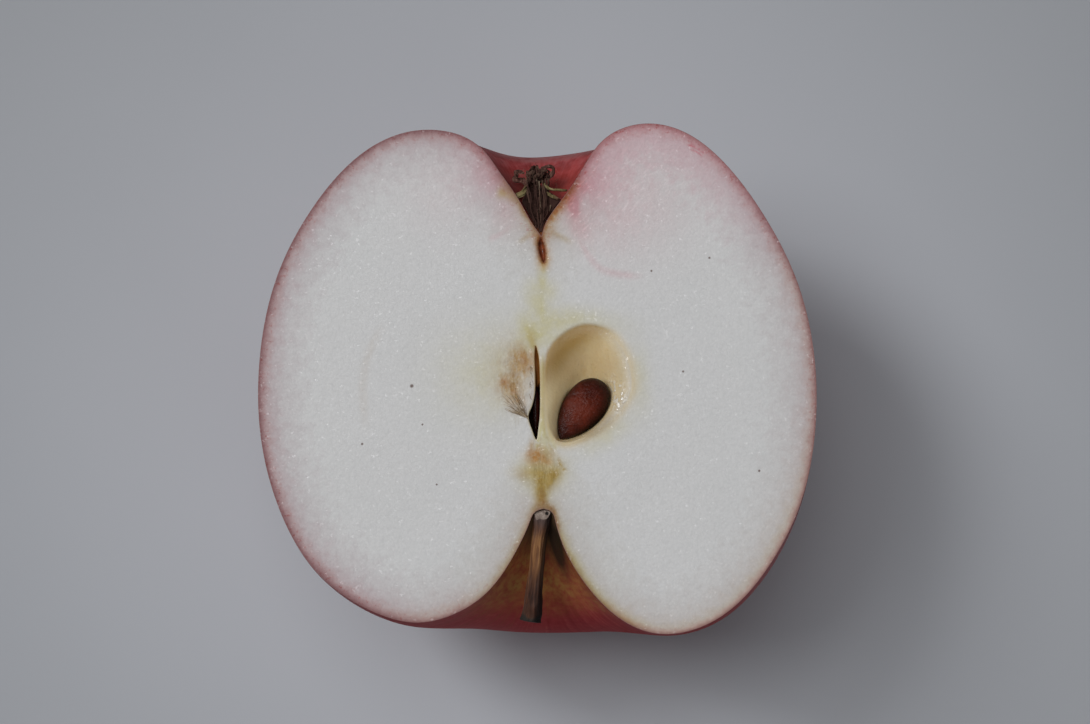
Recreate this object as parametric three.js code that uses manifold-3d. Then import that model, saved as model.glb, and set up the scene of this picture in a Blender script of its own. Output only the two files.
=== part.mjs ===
// Half of a fresh apple, cut lengthways through the core and lying on its round back.
//
// Millimetres, +Z up.  The cut face is level: X runs across it and Y runs along the core,
// with the calyx end at +Y and the stem end at -Y.  While the pieces are being made, the
// core axis is the line x = 0, z = 0 in the plane of the cut, and the flesh lies below it.
import * as THREE from 'three';
import { mergeVertices } from 'three/addons/utils/BufferGeometryUtils.js';
import Module from 'manifold-3d';

const wasm = await Module();
wasm.setup();

// ---------------------------------------------------------------- driving dimensions

const HALF_DEPTH = 37.65; // cut face to the small flat spot it rests on
const GAP = 0.3; // clearance between a piece and what holds it

// Landmarks down the outline of the cut, from the calyx funnel over the cheek to the stem
// cavity: [distance from the core, height along it] on the right half, then on the left.
const OUTLINE = {
  funnelFloor: [[0, 19.9], [0, 19.9]],
  funnelWall: [[0.8, 22.2], [1.5, 22.1]],
  funnelMouth: [[3.0, 25.3], [3.2, 25.2]],
  basinWall: [[5.5, 29.05], [5.9, 29.2]],
  basinBrink: [[7.9, 32.7], [8.2, 32.3]],
  innerCrest: [[10.9, 34.8], [11.2, 34.3]],
  calyxCrest: [[15.1, 35.5], [15.6, 35.15]],
  outerCrest: [[19.7, 34.2], [20.2, 34.45]],
  shoulder: [[25.0, 29.9], [25.8, 31.2]],
  upperCheek: [[30.9, 21.5], [32.4, 23.2]],
  cheek: [[35.0, 12.4], [36.9, 13.4]],
  equator: [[37.1, 0], [38.8, 0.4]],
  lowerCheek: [[36.1, -12.2], [37.4, -12.0]],
  haunch: [[32.4, -22.2], [32.6, -23.1]],
  lowerShoulder: [[26.3, -30.3], [26.2, -29.3]],
  outerStemCrest: [[20.7, -33.7], [20.7, -32.0]],
  stemCrest: [[15.7, -34.35], [16.0, -32.7]],
  cavityBrink: [[11.1, -32.7], [11.3, -31.4]],
  cavitySlope: [[6.9, -28.9], [7.0, -28.4]],
  cavityWall: [[3.5, -23.0], [3.5, -23.3]],
  cavityThroat: [[1.4, -17.9], [1.4, -18.2]],
  cavityApex: [[0, -16.8], [0, -16.8]],
};

// How far the back of the apple departs from a plain blend of its two cut outlines.
const CALYX_LOBES = { swell: 0.005, rise: 0.15, backDip: 1.0 };
const STEM_LOBES = { swell: 0.035, rise: 0.15, backDip: 0.5, tilt: 0.25 };
const LOBES_START = 4; // height along the core where the lobes begin to show
const LOBES_FULL = 32; // and where they are full
const LOBES_CORE = 12; // distance from the core at which they are full

const SKIN_COLUMNS = 36; // round the back, from cut edge to cut edge
const SKIN_ROWS = 54; // down the outline

// The opened seed chamber right of the core: its rim on the cut face, then its depth and
// how far its deepest point lies towards the core from the middle of the rim.
const CHAMBER_RIM = {
  columnTop: [0.75, 2.6],
  columnFoot: [0.75, -3.6],
  footLeft: [1.3, -7.1],
  foot: [2.9, -8.5],
  footRight: [6.3, -7.6],
  lowerWall: [9.8, -5.3],
  outerWall: [12.2, -1.6],
  upperWall: [11.7, 2.9],
  crownRight: [9.2, 6.4],
  crown: [5.7, 7.4],
  crownLeft: [2.3, 5.6],
};
const CHAMBER_DEPTH = 5.6;
const CHAMBER_LEAN = 2.0;

// The narrow slit left of the core column, where the knife just opened a second chamber.
const SLIT_RIM = {
  top: [-0.85, 4.7],
  columnTop: [-0.3, 3.2],
  columnMiddle: [-0.24, -1.6],
  columnFoot: [-0.35, -6.0],
  foot: [-0.75, -8.3],
  seedFoot: [-1.4, -6.9],
  seedSide: [-1.85, -5.0],
  seedTop: [-1.25, -2.6],
  wall: [-0.95, 0.2],
  wallTop: [-1.3, 2.6],
};
const SLIT_DEPTH = 4.2;

// The brown style canal that runs from the calyx funnel towards the core.
const CANAL_RIM = {
  mouthRight: [0.1, 20.9],
  middleRight: [0.32, 18.3],
  end: [0.22, 16.2],
  middleLeft: [-0.2, 18.2],
  mouthLeft: [-0.5, 20.9],
};
const CANAL_DEPTH = 0.9;

// Seeds: pointed tip to round end, then width and thickness.
const SEED_RIGHT = {
  tip: [2.3, -7.65, -1.35],
  end: [8.5, 0.05, -2.75],
  width: 5.6,
  thickness: 3.6,
  edgeOn: false,
};
const SEED_LEFT = {
  tip: [-0.82, -8.0, -1.6],
  end: [-0.85, -0.5, -2.2],
  width: 3.4,
  thickness: 1.1,
  edgeOn: true,
};

// The stem: points on its axis from the knife-cut base to the tip, with its radius there.
const STEM = [
  { at: [0.3, -17.5, -1.15], radius: 1.02 },
  { at: [0.15, -18.6, -1.25], radius: 1.14 },
  { at: [-0.3, -20.3, -1.45], radius: 1.18 },
  { at: [-0.62, -22.6, -1.65], radius: 1.22 },
  { at: [-0.82, -25.1, -1.9], radius: 1.24 },
  { at: [-1.04, -27.5, -2.15], radius: 1.12 },
  { at: [-1.32, -29.6, -2.35], radius: 1.22 },
  { at: [-1.55, -31.3, -2.55], radius: 1.36 },
  { at: [-1.72, -32.4, -2.65], radius: 1.3 },
];

// Dried sepals round the funnel mouth.  Each is a thin blade along a spine of points, with
// its greatest width, the direction across it, and how far its edges cup forward.
const SEPAL_THICKNESS = 0.3;
const SEPALS = {
  sepal_left: {
    spine: [[-2.95, 26.3, -1.3], [-2.75, 27.7, -1.75], [-3.0, 29.2, -1.9], [-3.7, 30.3, -2.3], [-4.3, 29.9, -2.7]],
    width: 1.7, across: [0.55, 0.15, 0.8], cup: 0.25,
  },
  sepal_back: {
    spine: [[-1.2, 26.6, -3.35], [-1.35, 28.2, -3.1], [-1.25, 29.5, -2.7], [-0.7, 30.5, -2.7], [0.05, 30.3, -3.2]],
    width: 2.2, across: [1, 0.1, 0.2], cup: 0.35,
  },
  sepal_loop: {
    spine: [[0.95, 27.9, -3.3], [0.55, 29.3, -2.9], [0.95, 30.7, -2.6], [1.85, 31.2, -2.7], [1.9, 30.2, -3.1]],
    width: 1.1, across: [0.3, -0.25, 0.9], cup: 0.15,
  },
  sepal_right: {
    spine: [[0.75, 27.75, -1.15], [1.6, 27.2, -0.95], [2.5, 26.95, -0.9], [3.45, 26.95, -1.0]],
    width: 0.95, across: [0.1, 0.85, -0.5], cup: 0.1,
  },
  sepal_shred: {
    spine: [[0.95, 26.75, -0.7], [1.45, 26.25, -0.6], [1.95, 25.85, -0.6], [2.4, 25.55, -0.65]],
    width: 0.55, across: [0.5, 0.8, -0.2], cup: 0.05,
  },
};

// The tuft of dried stamens: a dark heart that fills the funnel up to a little under the
// cut, and threads that start at its foot and fan out towards the basin.
const TUFT = {
  heartTop: 25.6,
  heartBottom: 21.6,
  heartFront: -0.75,
  foot: [-0.2, 21.8, -0.5],
  threads: 9,
  fan: { x: [-1.95, 1.25], y: 26.9, z: [-0.55, -2.3] },
  threadRadius: 0.28,
};

// ---------------------------------------------------------------- small helpers

const smoothstep = THREE.MathUtils.smoothstep;
const lerp = THREE.MathUtils.lerp;
const vector = (point) => new THREE.Vector3(...point);

// A closed body from vertices and triangles, wound so that its faces point out.
function closedGeometry(vertices, triangles) {
  let volume = 0;
  for (const [a, b, c] of triangles) {
    volume += vertices[a].dot(new THREE.Vector3().crossVectors(vertices[b], vertices[c]));
  }
  const outward = volume > 0 ? triangles : triangles.map(([a, b, c]) => [a, c, b]);
  const geometry = new THREE.BufferGeometry();
  const positions = vertices.flatMap((vertex) => vertex.toArray());
  geometry.setAttribute('position', new THREE.Float32BufferAttribute(positions, 3));
  geometry.setIndex(outward.flat());
  return geometry;
}

// A body through a row of closed loops with equal counts, capped by a point at each end.
function loft(loops, firstCentre, lastCentre) {
  const count = loops[0].length;
  const vertices = [...loops.flat(), firstCentre, lastCentre];
  const first = vertices.length - 2;
  const last = vertices.length - 1;
  const lastLoop = (loops.length - 1) * count;
  const triangles = [];
  for (let side = 0; side < count; side += 1) {
    const next = (side + 1) % count;
    triangles.push([first, next, side]);
    triangles.push([last, lastLoop + side, lastLoop + next]);
    for (let start = 0; start < lastLoop; start += count) {
      triangles.push([start + side, start + next, start + count + next]);
      triangles.push([start + side, start + count + next, start + count + side]);
    }
  }
  return closedGeometry(vertices, triangles);
}

function toSolid(geometry) {
  geometry.deleteAttribute('normal');
  geometry.deleteAttribute('uv');
  const merged = mergeVertices(geometry);
  return new wasm.Manifold(new wasm.Mesh({
    numProp: 3,
    vertProperties: new Float32Array(merged.attributes.position.array),
    triVerts: new Uint32Array(merged.index.array),
  }));
}

function fromSolid(solid) {
  const mesh = solid.getMesh();
  const geometry = new THREE.BufferGeometry();
  geometry.setAttribute('position', new THREE.BufferAttribute(mesh.vertProperties, 3));
  geometry.setIndex(new THREE.BufferAttribute(mesh.triVerts, 1));
  return geometry;
}

// A smooth curve through values at rising knots, with free ends (a natural cubic spline).
function naturalSpline(knots, values) {
  const last = knots.length - 1;
  const bend = new Array(last + 1).fill(0);
  const carried = new Array(last + 1).fill(0);
  for (let i = 1; i < last; i += 1) {
    const before = knots[i] - knots[i - 1];
    const after = knots[i + 1] - knots[i];
    const turn = (values[i + 1] - values[i]) / after - (values[i] - values[i - 1]) / before;
    const pivot = 2 * (before + after) - before * carried[i - 1];
    carried[i] = after / pivot;
    bend[i] = (6 * turn - before * bend[i - 1]) / pivot;
  }
  for (let i = last - 1; i > 0; i -= 1) {
    bend[i] -= carried[i] * bend[i + 1];
  }
  return (s) => {
    let i = 0;
    while (i < last - 1 && s > knots[i + 1]) i += 1;
    const span = knots[i + 1] - knots[i];
    const b = (s - knots[i]) / span;
    const a = 1 - b;
    const curve = (a ** 3 - a) * bend[i] + (b ** 3 - b) * bend[i + 1];
    return a * values[i] + b * values[i + 1] + (curve * span * span) / 6;
  };
}

// ---------------------------------------------------------------- skin and flesh

const landmarks = Object.values(OUTLINE);
const KNOT_POWER = 0.75; // closer landmarks take a little more than their share of the knots
const knots = [0];
for (let i = 1; i < landmarks.length; i += 1) {
  const middle = ([right, left]) => [(right[0] + left[0]) / 2, (right[1] + left[1]) / 2];
  const [r0, h0] = middle(landmarks[i - 1]);
  const [r1, h1] = middle(landmarks[i]);
  knots.push(knots[i - 1] + Math.hypot(r1 - r0, h1 - h0) ** KNOT_POWER);
}
const outlineSpline = (side, axis) => naturalSpline(knots, landmarks.map((mark) => mark[side][axis]));
const rightDistance = outlineSpline(0, 0);
const rightHeight = outlineSpline(0, 1);
const leftDistance = outlineSpline(1, 0);
const leftHeight = outlineSpline(1, 1);

// A point of the skin: s runs down the outline, and turn from the right cut edge (0) under
// the apple to the left cut edge (PI).
function skinPoint(s, turn) {
  const leftShare = (1 - Math.cos(turn)) / 2;
  const distance = lerp(rightDistance(s), leftDistance(s), leftShare);
  const height = lerp(rightHeight(s), leftHeight(s), leftShare);
  const outOfCore = smoothstep(distance, 0, LOBES_CORE);
  const calyx = smoothstep(height, LOBES_START, LOBES_FULL) * outOfCore;
  const stem = smoothstep(-height, LOBES_START, LOBES_FULL) * outOfCore;
  const back = Math.sin(turn) ** 2;
  const calyxWave = Math.cos(5 * turn) - Math.cos(turn);
  const stemWave = Math.sin(5 * turn);
  const swell = calyx * CALYX_LOBES.swell * calyxWave + stem * STEM_LOBES.swell * stemWave;
  const rise = calyx * (CALYX_LOBES.rise * calyxWave - CALYX_LOBES.backDip * back)
    + stem * (STEM_LOBES.backDip * back + STEM_LOBES.tilt * Math.sin(2 * turn) - STEM_LOBES.rise * stemWave);
  const radius = distance * (1 + swell);
  const onCut = turn === 0 || turn === Math.PI;
  return new THREE.Vector3(radius * Math.cos(turn), height + rise, onCut ? 0 : -radius * Math.sin(turn));
}

// The uncut half: the skin as a grid between its two poles on the core, and the flat cut.
function halfApple() {
  const end = knots.at(-1);
  const vertices = [skinPoint(0, 0), skinPoint(end, 0)];
  const at = (row, column) => 2 + (row - 1) * (SKIN_COLUMNS + 1) + column;
  for (let row = 1; row < SKIN_ROWS; row += 1) {
    for (let column = 0; column <= SKIN_COLUMNS; column += 1) {
      vertices.push(skinPoint((end * row) / SKIN_ROWS, (Math.PI * column) / SKIN_COLUMNS));
    }
  }
  const triangles = [];
  for (let column = 0; column < SKIN_COLUMNS; column += 1) {
    triangles.push([0, at(1, column), at(1, column + 1)]);
    triangles.push([1, at(SKIN_ROWS - 1, column + 1), at(SKIN_ROWS - 1, column)]);
    for (let row = 1; row < SKIN_ROWS - 1; row += 1) {
      triangles.push([at(row, column), at(row + 1, column), at(row + 1, column + 1)]);
      triangles.push([at(row, column), at(row + 1, column + 1), at(row, column + 1)]);
    }
  }
  const rows = Array.from({ length: SKIN_ROWS - 1 }, (_, i) => i + 1);
  const right = rows.map((row) => at(row, 0));
  const left = rows.map((row) => at(row, SKIN_COLUMNS)).reverse();
  const rim = [0, ...right, 1, ...left];
  const flatRim = rim.map((index) => new THREE.Vector2(vertices[index].x, vertices[index].y));
  for (const [a, b, c] of THREE.ShapeUtils.triangulateShape(flatRim, [])) {
    triangles.push([rim[a], rim[b], rim[c]]);
  }
  return closedGeometry(vertices, triangles);
}

// A pocket sunk from the cut face: its rim narrows in a quarter ellipse down to its floor.
function pocket(rimMarks, { depth, lean = 0, steepness = 1, segments = 44, levels = 9 }) {
  const ABOVE = 1;
  const marks = Object.values(rimMarks).map(([x, y]) => new THREE.Vector3(x, y, 0));
  const rim = new THREE.CatmullRomCurve3(marks, true, 'catmullrom', 0.5).getPoints(segments).slice(0, -1);
  const middle = new THREE.Box3().setFromPoints(rim).getCenter(new THREE.Vector3());
  const loops = [rim.map((point) => point.clone().setZ(ABOVE))];
  for (let level = 0; level < levels; level += 1) {
    const angle = ((level / levels) * Math.PI) / 2;
    const scale = Math.cos(angle) ** (1 / steepness);
    loops.push(rim.map((point) => new THREE.Vector3(
      middle.x - lean * (1 - scale) + (point.x - middle.x) * scale,
      middle.y + (point.y - middle.y) * scale,
      -depth * Math.sin(angle),
    )));
  }
  const floor = new THREE.Vector3(middle.x - lean, middle.y, -depth);
  return loft(loops, middle.clone().setZ(ABOVE), floor);
}

// ---------------------------------------------------------------- seeds and stem

// A pip: pointed at its tip and round at its end, flat or standing on edge, grown by grow.
function seed({ tip, end, width, thickness, edgeOn }, grow = 0) {
  const ROUND = 16;
  const ALONG = 12;
  const TIP_POWER = 0.72; // how slowly the tip widens
  const END_POWER = 0.45; // how bluntly the end closes
  const along = vector(end).sub(vector(tip));
  const length = along.length();
  along.normalize();
  const flat = edgeOn ? new THREE.Vector3(1, 0, 0) : new THREE.Vector3(0, 0, 1);
  const side = new THREE.Vector3().crossVectors(flat, along).normalize();
  const up = new THREE.Vector3().crossVectors(along, side);
  const fattest = TIP_POWER / (TIP_POWER + END_POWER);
  const form = (t) => t ** TIP_POWER * (1 - t) ** END_POWER;
  const place = (t) => vector(tip).addScaledVector(along, lerp(-grow, length + grow, t));
  const loops = [];
  for (let ring = 1; ring < ALONG; ring += 1) {
    const t = (1 - Math.cos((Math.PI * ring) / ALONG)) / 2;
    const girth = form(t) / form(fattest);
    loops.push(Array.from({ length: ROUND }, (_, i) => {
      const angle = (2 * Math.PI * i) / ROUND;
      return place(t)
        .addScaledVector(side, Math.cos(angle) * girth * (width / 2 + grow))
        .addScaledVector(up, Math.sin(angle) * girth * (thickness / 2 + grow));
    }));
  }
  return loft(loops, place(0), place(1));
}

// The stem as rings square to its axis, shallowly ribbed as dry bark is; a plain, fatter
// copy cuts its socket.
function stem(grow = 0) {
  const ROUND = 16;
  const ALONG = 22;
  const RIBS = 5;
  const RIB_HEIGHT = grow > 0 ? 0 : 0.05;
  const axis = new THREE.CatmullRomCurve3(STEM.map(({ at }) => vector(at)), false, 'catmullrom', 0.5);
  const radii = naturalSpline(STEM.map((_, i) => i), STEM.map(({ radius }) => radius));
  const loops = [];
  for (let ring = 0; ring <= ALONG; ring += 1) {
    const t = ring / ALONG;
    const along = axis.getTangent(t);
    const side = new THREE.Vector3().crossVectors(along, new THREE.Vector3(0, 0, 1)).normalize();
    const up = new THREE.Vector3().crossVectors(side, along);
    const endShift = ring === 0 ? -grow : ring === ALONG ? grow : 0;
    loops.push(Array.from({ length: ROUND }, (_, i) => {
      const angle = (2 * Math.PI * i) / ROUND;
      const radius = radii(t * (STEM.length - 1)) + grow + RIB_HEIGHT * Math.cos(RIBS * angle + 2 * t);
      return axis.getPoint(t)
        .addScaledVector(along, endShift)
        .addScaledVector(side, Math.cos(angle) * radius)
        .addScaledVector(up, Math.sin(angle) * radius);
    }));
  }
  const centre = (loop) => loop.reduce((sum, point) => sum.add(point), new THREE.Vector3())
    .divideScalar(ROUND);
  return loft(loops, centre(loops[0]), centre(loops.at(-1)));
}

// ---------------------------------------------------------------- calyx remains

// A thin dried blade: both faces are the same grid, a thickness apart, sewn round the edge.
function sepal({ spine, width, across, cup }) {
  const ALONG = 12;
  const ACROSS = 5;
  const axis = new THREE.CatmullRomCurve3(spine.map(vector), false, 'catmullrom', 0.5);
  const loops = [];
  for (let step = 0; step <= ALONG; step += 1) {
    const t = step / ALONG;
    const along = axis.getTangent(t);
    const face = new THREE.Vector3().crossVectors(vector(across).normalize(), along).normalize();
    const side = new THREE.Vector3().crossVectors(along, face);
    const halfWidth = (width / 2) * Math.sqrt(Math.max(0.12, 1 - t ** 3)) * lerp(0.75, 1, t * (1 - t) * 4);
    const sheetPoint = (share, lift) => axis.getPoint(t)
      .addScaledVector(side, share * halfWidth)
      .addScaledVector(face, cup * share * share + 0.08 * Math.sin(7 * t + 3 * share) + lift);
    const shares = Array.from({ length: ACROSS + 1 }, (_, i) => (2 * i) / ACROSS - 1);
    const front = shares.map((share) => sheetPoint(share, SEPAL_THICKNESS / 2));
    const back = shares.toReversed().map((share) => sheetPoint(share, -SEPAL_THICKNESS / 2));
    loops.push([...front, ...back]);
  }
  return loft(loops, axis.getPoint(0), axis.getPoint(1));
}

// The heart of the stamens: the funnel's own form, kept a gap away from its wall.
function tuftHeart() {
  const ROUND = 14;
  const LEVELS = 6;
  const mouth = knots[2];
  const sAt = (height) => {
    let s = 0;
    while (s < mouth && rightHeight(s) < height) s += mouth / 400;
    return s;
  };
  const bottom = sAt(TUFT.heartBottom);
  const top = sAt(TUFT.heartTop);
  const loops = [];
  for (let level = 0; level <= LEVELS; level += 1) {
    const s = lerp(bottom, top, level / LEVELS);
    loops.push(Array.from({ length: ROUND }, (_, i) => {
      const wall = skinPoint(s, (Math.PI * i) / (ROUND - 1));
      const reach = Math.hypot(wall.x, wall.z);
      const inner = wall.clone().multiply(new THREE.Vector3(1 - GAP / reach, 1, 1 - GAP / reach));
      return inner.setZ(Math.min(inner.z, Math.max(TUFT.heartFront, -0.7 * reach)));
    }));
  }
  const centre = (loop) => new THREE.Box3().setFromPoints(loop).getCenter(new THREE.Vector3());
  return loft(loops, centre(loops[0]), centre(loops.at(-1)));
}

// The stamens: the heart with dried threads fused to it.
function stamenTuft() {
  const ROUND = 5;
  const ALONG = 6;
  let tuft = toSolid(tuftHeart());
  for (let thread = 0; thread < TUFT.threads; thread += 1) {
    const share = thread / (TUFT.threads - 1);
    const wander = Math.sin(2.4 * thread);
    const end = new THREE.Vector3(
      lerp(...TUFT.fan.x, share),
      TUFT.fan.y + 0.9 * wander,
      lerp(...TUFT.fan.z, (thread * 0.62) % 1),
    );
    const foot = vector(TUFT.foot).add(new THREE.Vector3(0.2 * (share - 0.5), 0, -0.2 * share));
    const bow = foot.clone().lerp(end, 0.5).add(new THREE.Vector3(0.45 * (share - 0.5), 0, 0.3 + 0.1 * wander));
    const axis = new THREE.QuadraticBezierCurve3(foot, bow, end);
    const loops = [];
    for (let ring = 0; ring <= ALONG; ring += 1) {
      const t = ring / ALONG;
      const along = axis.getTangent(t);
      const side = new THREE.Vector3().crossVectors(along, new THREE.Vector3(0, 0, 1)).normalize();
      const up = new THREE.Vector3().crossVectors(side, along);
      const radius = TUFT.threadRadius * (0.6 + 0.5 * Math.sin(Math.PI * t));
      loops.push(Array.from({ length: ROUND }, (_, i) => {
        const angle = (2 * Math.PI * i) / ROUND;
        return axis.getPoint(t)
          .addScaledVector(side, Math.cos(angle) * radius)
          .addScaledVector(up, Math.sin(angle) * radius);
      }));
    }
    tuft = tuft.add(toSolid(loft(loops, foot, end)));
  }
  return fromSolid(tuft);
}

// ---------------------------------------------------------------- assembly

// The flesh and skin, opened by the chambers, with beds for what sits in it.
function fleshAndSkin() {
  const BLOCK = 100;
  const below = new THREE.BoxGeometry(BLOCK, BLOCK, BLOCK / 4);
  below.translate(0, 0, -HALF_DEPTH - BLOCK / 8);
  const cutters = [
    below,
    pocket(CHAMBER_RIM, { depth: CHAMBER_DEPTH, lean: CHAMBER_LEAN }),
    pocket(SLIT_RIM, { depth: SLIT_DEPTH, steepness: 3, segments: 36, levels: 5 }),
    pocket(CANAL_RIM, { depth: CANAL_DEPTH, segments: 16, levels: 3 }),
    seed(SEED_RIGHT, GAP),
    seed(SEED_LEFT, GAP),
    stem(GAP),
  ];
  return fromSolid(cutters.reduce((solid, cutter) => solid.subtract(toSolid(cutter)), toSolid(halfApple())));
}

const finishes = {
  apple_half: { color: 0xeae6e0, roughness: 0.5, metalness: 0 },
  stem: { color: 0x5a3c26, roughness: 0.75, metalness: 0 },
  seed: { color: 0x5a2b20, roughness: 0.25, metalness: 0 },
  sepal: { color: 0x6e5a42, roughness: 0.85, metalness: 0 },
  stamens: { color: 0x2e241e, roughness: 0.9, metalness: 0 },
};

const apple = new THREE.Group();
function addPiece(name, geometry, finish) {
  const piece = new THREE.Mesh(geometry, new THREE.MeshStandardMaterial(finish));
  piece.name = name;
  apple.add(piece);
}
addPiece('apple_half', fleshAndSkin(), finishes.apple_half);
addPiece('stem', stem(), finishes.stem);
addPiece('seed_right', seed(SEED_RIGHT), finishes.seed);
addPiece('seed_left', seed(SEED_LEFT), finishes.seed);
addPiece('stamen_tuft', stamenTuft(), finishes.stamens);
for (const [name, blade] of Object.entries(SEPALS)) {
  addPiece(name, sepal(blade), finishes.sepal);
}

// The origin is under the middle of the whole piece, on the plane that it rests on.
const bounds = new THREE.Box3().setFromObject(apple);
const middle = bounds.getCenter(new THREE.Vector3());
apple.position.set(-middle.x, -middle.y, -bounds.min.z);

export default apple;
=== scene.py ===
"""Looks of a fresh apple half, cut lengthways through the core and lying on its round back.

Sizes are in millimetres in the core frame: x across the cut, y up the core towards the calyx,
z = 0 on the cut and the flesh below it.  place() moves a point into the row frame, in metres.
"""

import math

import bpy
import numpy as np
from mathutils import Matrix, Vector
from mathutils.geometry import delaunay_2d_cdt


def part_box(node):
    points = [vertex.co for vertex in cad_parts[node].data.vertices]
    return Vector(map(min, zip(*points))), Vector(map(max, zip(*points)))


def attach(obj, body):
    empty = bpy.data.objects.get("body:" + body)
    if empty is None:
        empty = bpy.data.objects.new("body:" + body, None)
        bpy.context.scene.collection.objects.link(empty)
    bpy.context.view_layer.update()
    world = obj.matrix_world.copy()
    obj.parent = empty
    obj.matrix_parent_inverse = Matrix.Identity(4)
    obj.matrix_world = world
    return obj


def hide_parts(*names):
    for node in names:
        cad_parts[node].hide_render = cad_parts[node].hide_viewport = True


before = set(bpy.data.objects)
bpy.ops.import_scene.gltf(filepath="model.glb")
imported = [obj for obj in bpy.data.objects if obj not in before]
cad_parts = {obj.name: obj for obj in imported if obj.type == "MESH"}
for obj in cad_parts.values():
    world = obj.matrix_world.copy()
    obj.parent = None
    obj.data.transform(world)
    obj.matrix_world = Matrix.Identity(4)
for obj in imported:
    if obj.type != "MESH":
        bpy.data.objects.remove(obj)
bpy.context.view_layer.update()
MM = 0.001
rng = np.random.default_rng(7)

# ------------------------------------------------------------------ driving dimensions

HALF_DEPTH = 37.65  # cut face to the small flat spot it rests on

# Landmarks down the outline of the cut, from the calyx funnel over the cheek to the stem
# cavity: distance from the core and height along it, on the right half, then on the left.
OUTLINE = {
    "funnel_floor": (0, 19.9, 0, 19.9),
    "funnel_wall": (0.8, 22.2, 1.5, 22.1),
    "funnel_mouth": (3.0, 25.3, 3.2, 25.2),
    "basin_wall": (5.5, 29.05, 5.9, 29.2),
    "basin_brink": (7.9, 32.7, 8.2, 32.3),
    "inner_crest": (10.9, 34.8, 11.2, 34.3),
    "calyx_crest": (15.1, 35.5, 15.6, 35.15),
    "outer_crest": (19.7, 34.2, 20.2, 34.45),
    "shoulder": (25.0, 29.9, 25.8, 31.2),
    "upper_cheek": (30.9, 21.5, 32.4, 23.2),
    "cheek": (35.0, 12.4, 36.9, 13.4),
    "equator": (37.1, 0, 38.8, 0.4),
    "lower_cheek": (36.1, -12.2, 37.4, -12.0),
    "haunch": (32.4, -22.2, 32.6, -23.1),
    "lower_shoulder": (26.3, -30.3, 26.2, -29.3),
    "outer_stem_crest": (20.7, -33.7, 20.7, -32.0),
    "stem_crest": (15.7, -34.35, 16.0, -32.7),
    "cavity_brink": (11.1, -32.7, 11.3, -31.4),
    "cavity_slope": (6.9, -28.9, 7.0, -28.4),
    "cavity_wall": (3.05, -22.8, 3.2, -22.8),
    "cavity_throat": (1.85, -19.1, 1.6, -19.3),
    "cavity_collar": (1.38, -17.95, 0.95, -18.0),
    "cavity_apex": (0.25, -17.5, -0.25, -17.5),
}
KNOT_POWER = 0.75

CALYX_LOBES = {"swell": 0.005, "rise": 0.15, "back_dip": 1.0}
STEM_LOBES = {"swell": 0.035, "rise": 0.15, "back_dip": 0.5, "tilt": 0.25}
LOBES_START, LOBES_FULL, LOBES_CORE = 4, 32, 12

SKIN_COLUMNS = 150  # round the back, from cut edge to cut edge
SKIN_ROWS = 176  # down the outline

CHAMBER = {
    "rim": {
        "column_top": (0.75, 2.6),
        "column_foot": (0.75, -3.6),
        "foot_left": (1.3, -7.1),
        "foot": (2.9, -8.5),
        "foot_right": (6.3, -7.6),
        "lower_wall": (9.8, -5.3),
        "outer_wall": (12.2, -1.6),
        "upper_wall": (11.7, 2.9),
        "crown_right": (9.2, 6.4),
        "crown": (5.7, 7.4),
        "crown_left": (2.3, 5.6),
    },
    "depth": 3.8, "lean": 0.3, "steepness": 1, "segments": 120, "levels": 30,
    "soft": (-5, 0.6), "open": (140, 0.5),  # headings from which its wall slopes in gently
    "shallow": (0.0, 7.0, 0.6),
    "seed_room": 0.12,
}
SLIT = {
    "rim": {
        "top": (-0.82, 4.75),
        "column_top": (-0.42, 3.4),
        "column_upper": (-0.25, 1.2),
        "column_middle": (-0.19, -1.7),
        "column_lower": (-0.22, -4.5),
        "column_foot": (-0.42, -6.5),
        "foot": (-0.7, -8.1),
        "seed_foot": (-1.3, -6.7),
        "seed_side": (-1.8, -4.9),
        "seed_top": (-1.2, -3.2),
        "wall": (-0.9, -1.5),
        "wall_middle": (-0.86, 0.8),
        "wall_top": (-0.95, 3.0),
    },
    "depth": 4.2, "lean": 0.0, "steepness": 3, "segments": 90, "levels": 14,
    "shallow": (-1.1, -0.3, 0.24),  # from the first height up to the second it rises to this share
    "seed_room": 0.08,
}
CANAL = {
    "rim": {
        "mouth": (-0.12, 19.72),
        "upper_right": (0.22, 19.0),
        "lower_right": (0.5, 17.7),
        "end": (0.32, 16.3),
        "lower_left": (-0.25, 17.5),
        "upper_left": (-0.42, 18.9),
    },
    "depth": 0.8, "lean": 0.0, "steepness": 1, "segments": 40, "levels": 6,
}

SEED_RIGHT = {
    "tip": (2.4, -7.9, -1.35), "end": (8.15, 0.14, -2.75), "width": 5.66, "thickness": 3.6, "flat": (0, 0, 1),
}
SEED_LEFT = {
    "tip": (-0.82, -8.0, -1.6), "end": (-0.85, -0.5, -2.2), "width": 3.4, "thickness": 1.1, "flat": (1, 0, 0),
}
SEED_TAPER = {"tip": 0.77, "end": 0.48}  # powers of the distance from each end
POCKETS = ((CHAMBER, SEED_RIGHT), (SLIT, SEED_LEFT), (CANAL, None))

# The stem: points on its axis from the knife-cut base to the flared tip, and radius there.
STEM = [
    (0.1, -17.3, -1.2, 1.42),
    (-0.05, -18.7, -1.35, 1.3),
    (-0.35, -20.9, -1.55, 1.05),
    (-0.6, -23.0, -1.75, 0.98),
    (-0.85, -25.3, -1.95, 1.0),
    (-1.15, -28.0, -2.2, 1.1),
    (-1.35, -30.0, -2.4, 1.2),
    (-1.55, -31.6, -2.55, 1.36),
    (-1.7, -32.5, -2.65, 1.42),
]
STEM_CUT = {"through": (0.1, -17.3, -0.62), "rises_to": (-0.1, -18.85, -0.15)}
STEM_PITH = (0.72, -18.1, 0.27)  # x, y and radius of the dark hole in the cut end

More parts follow.
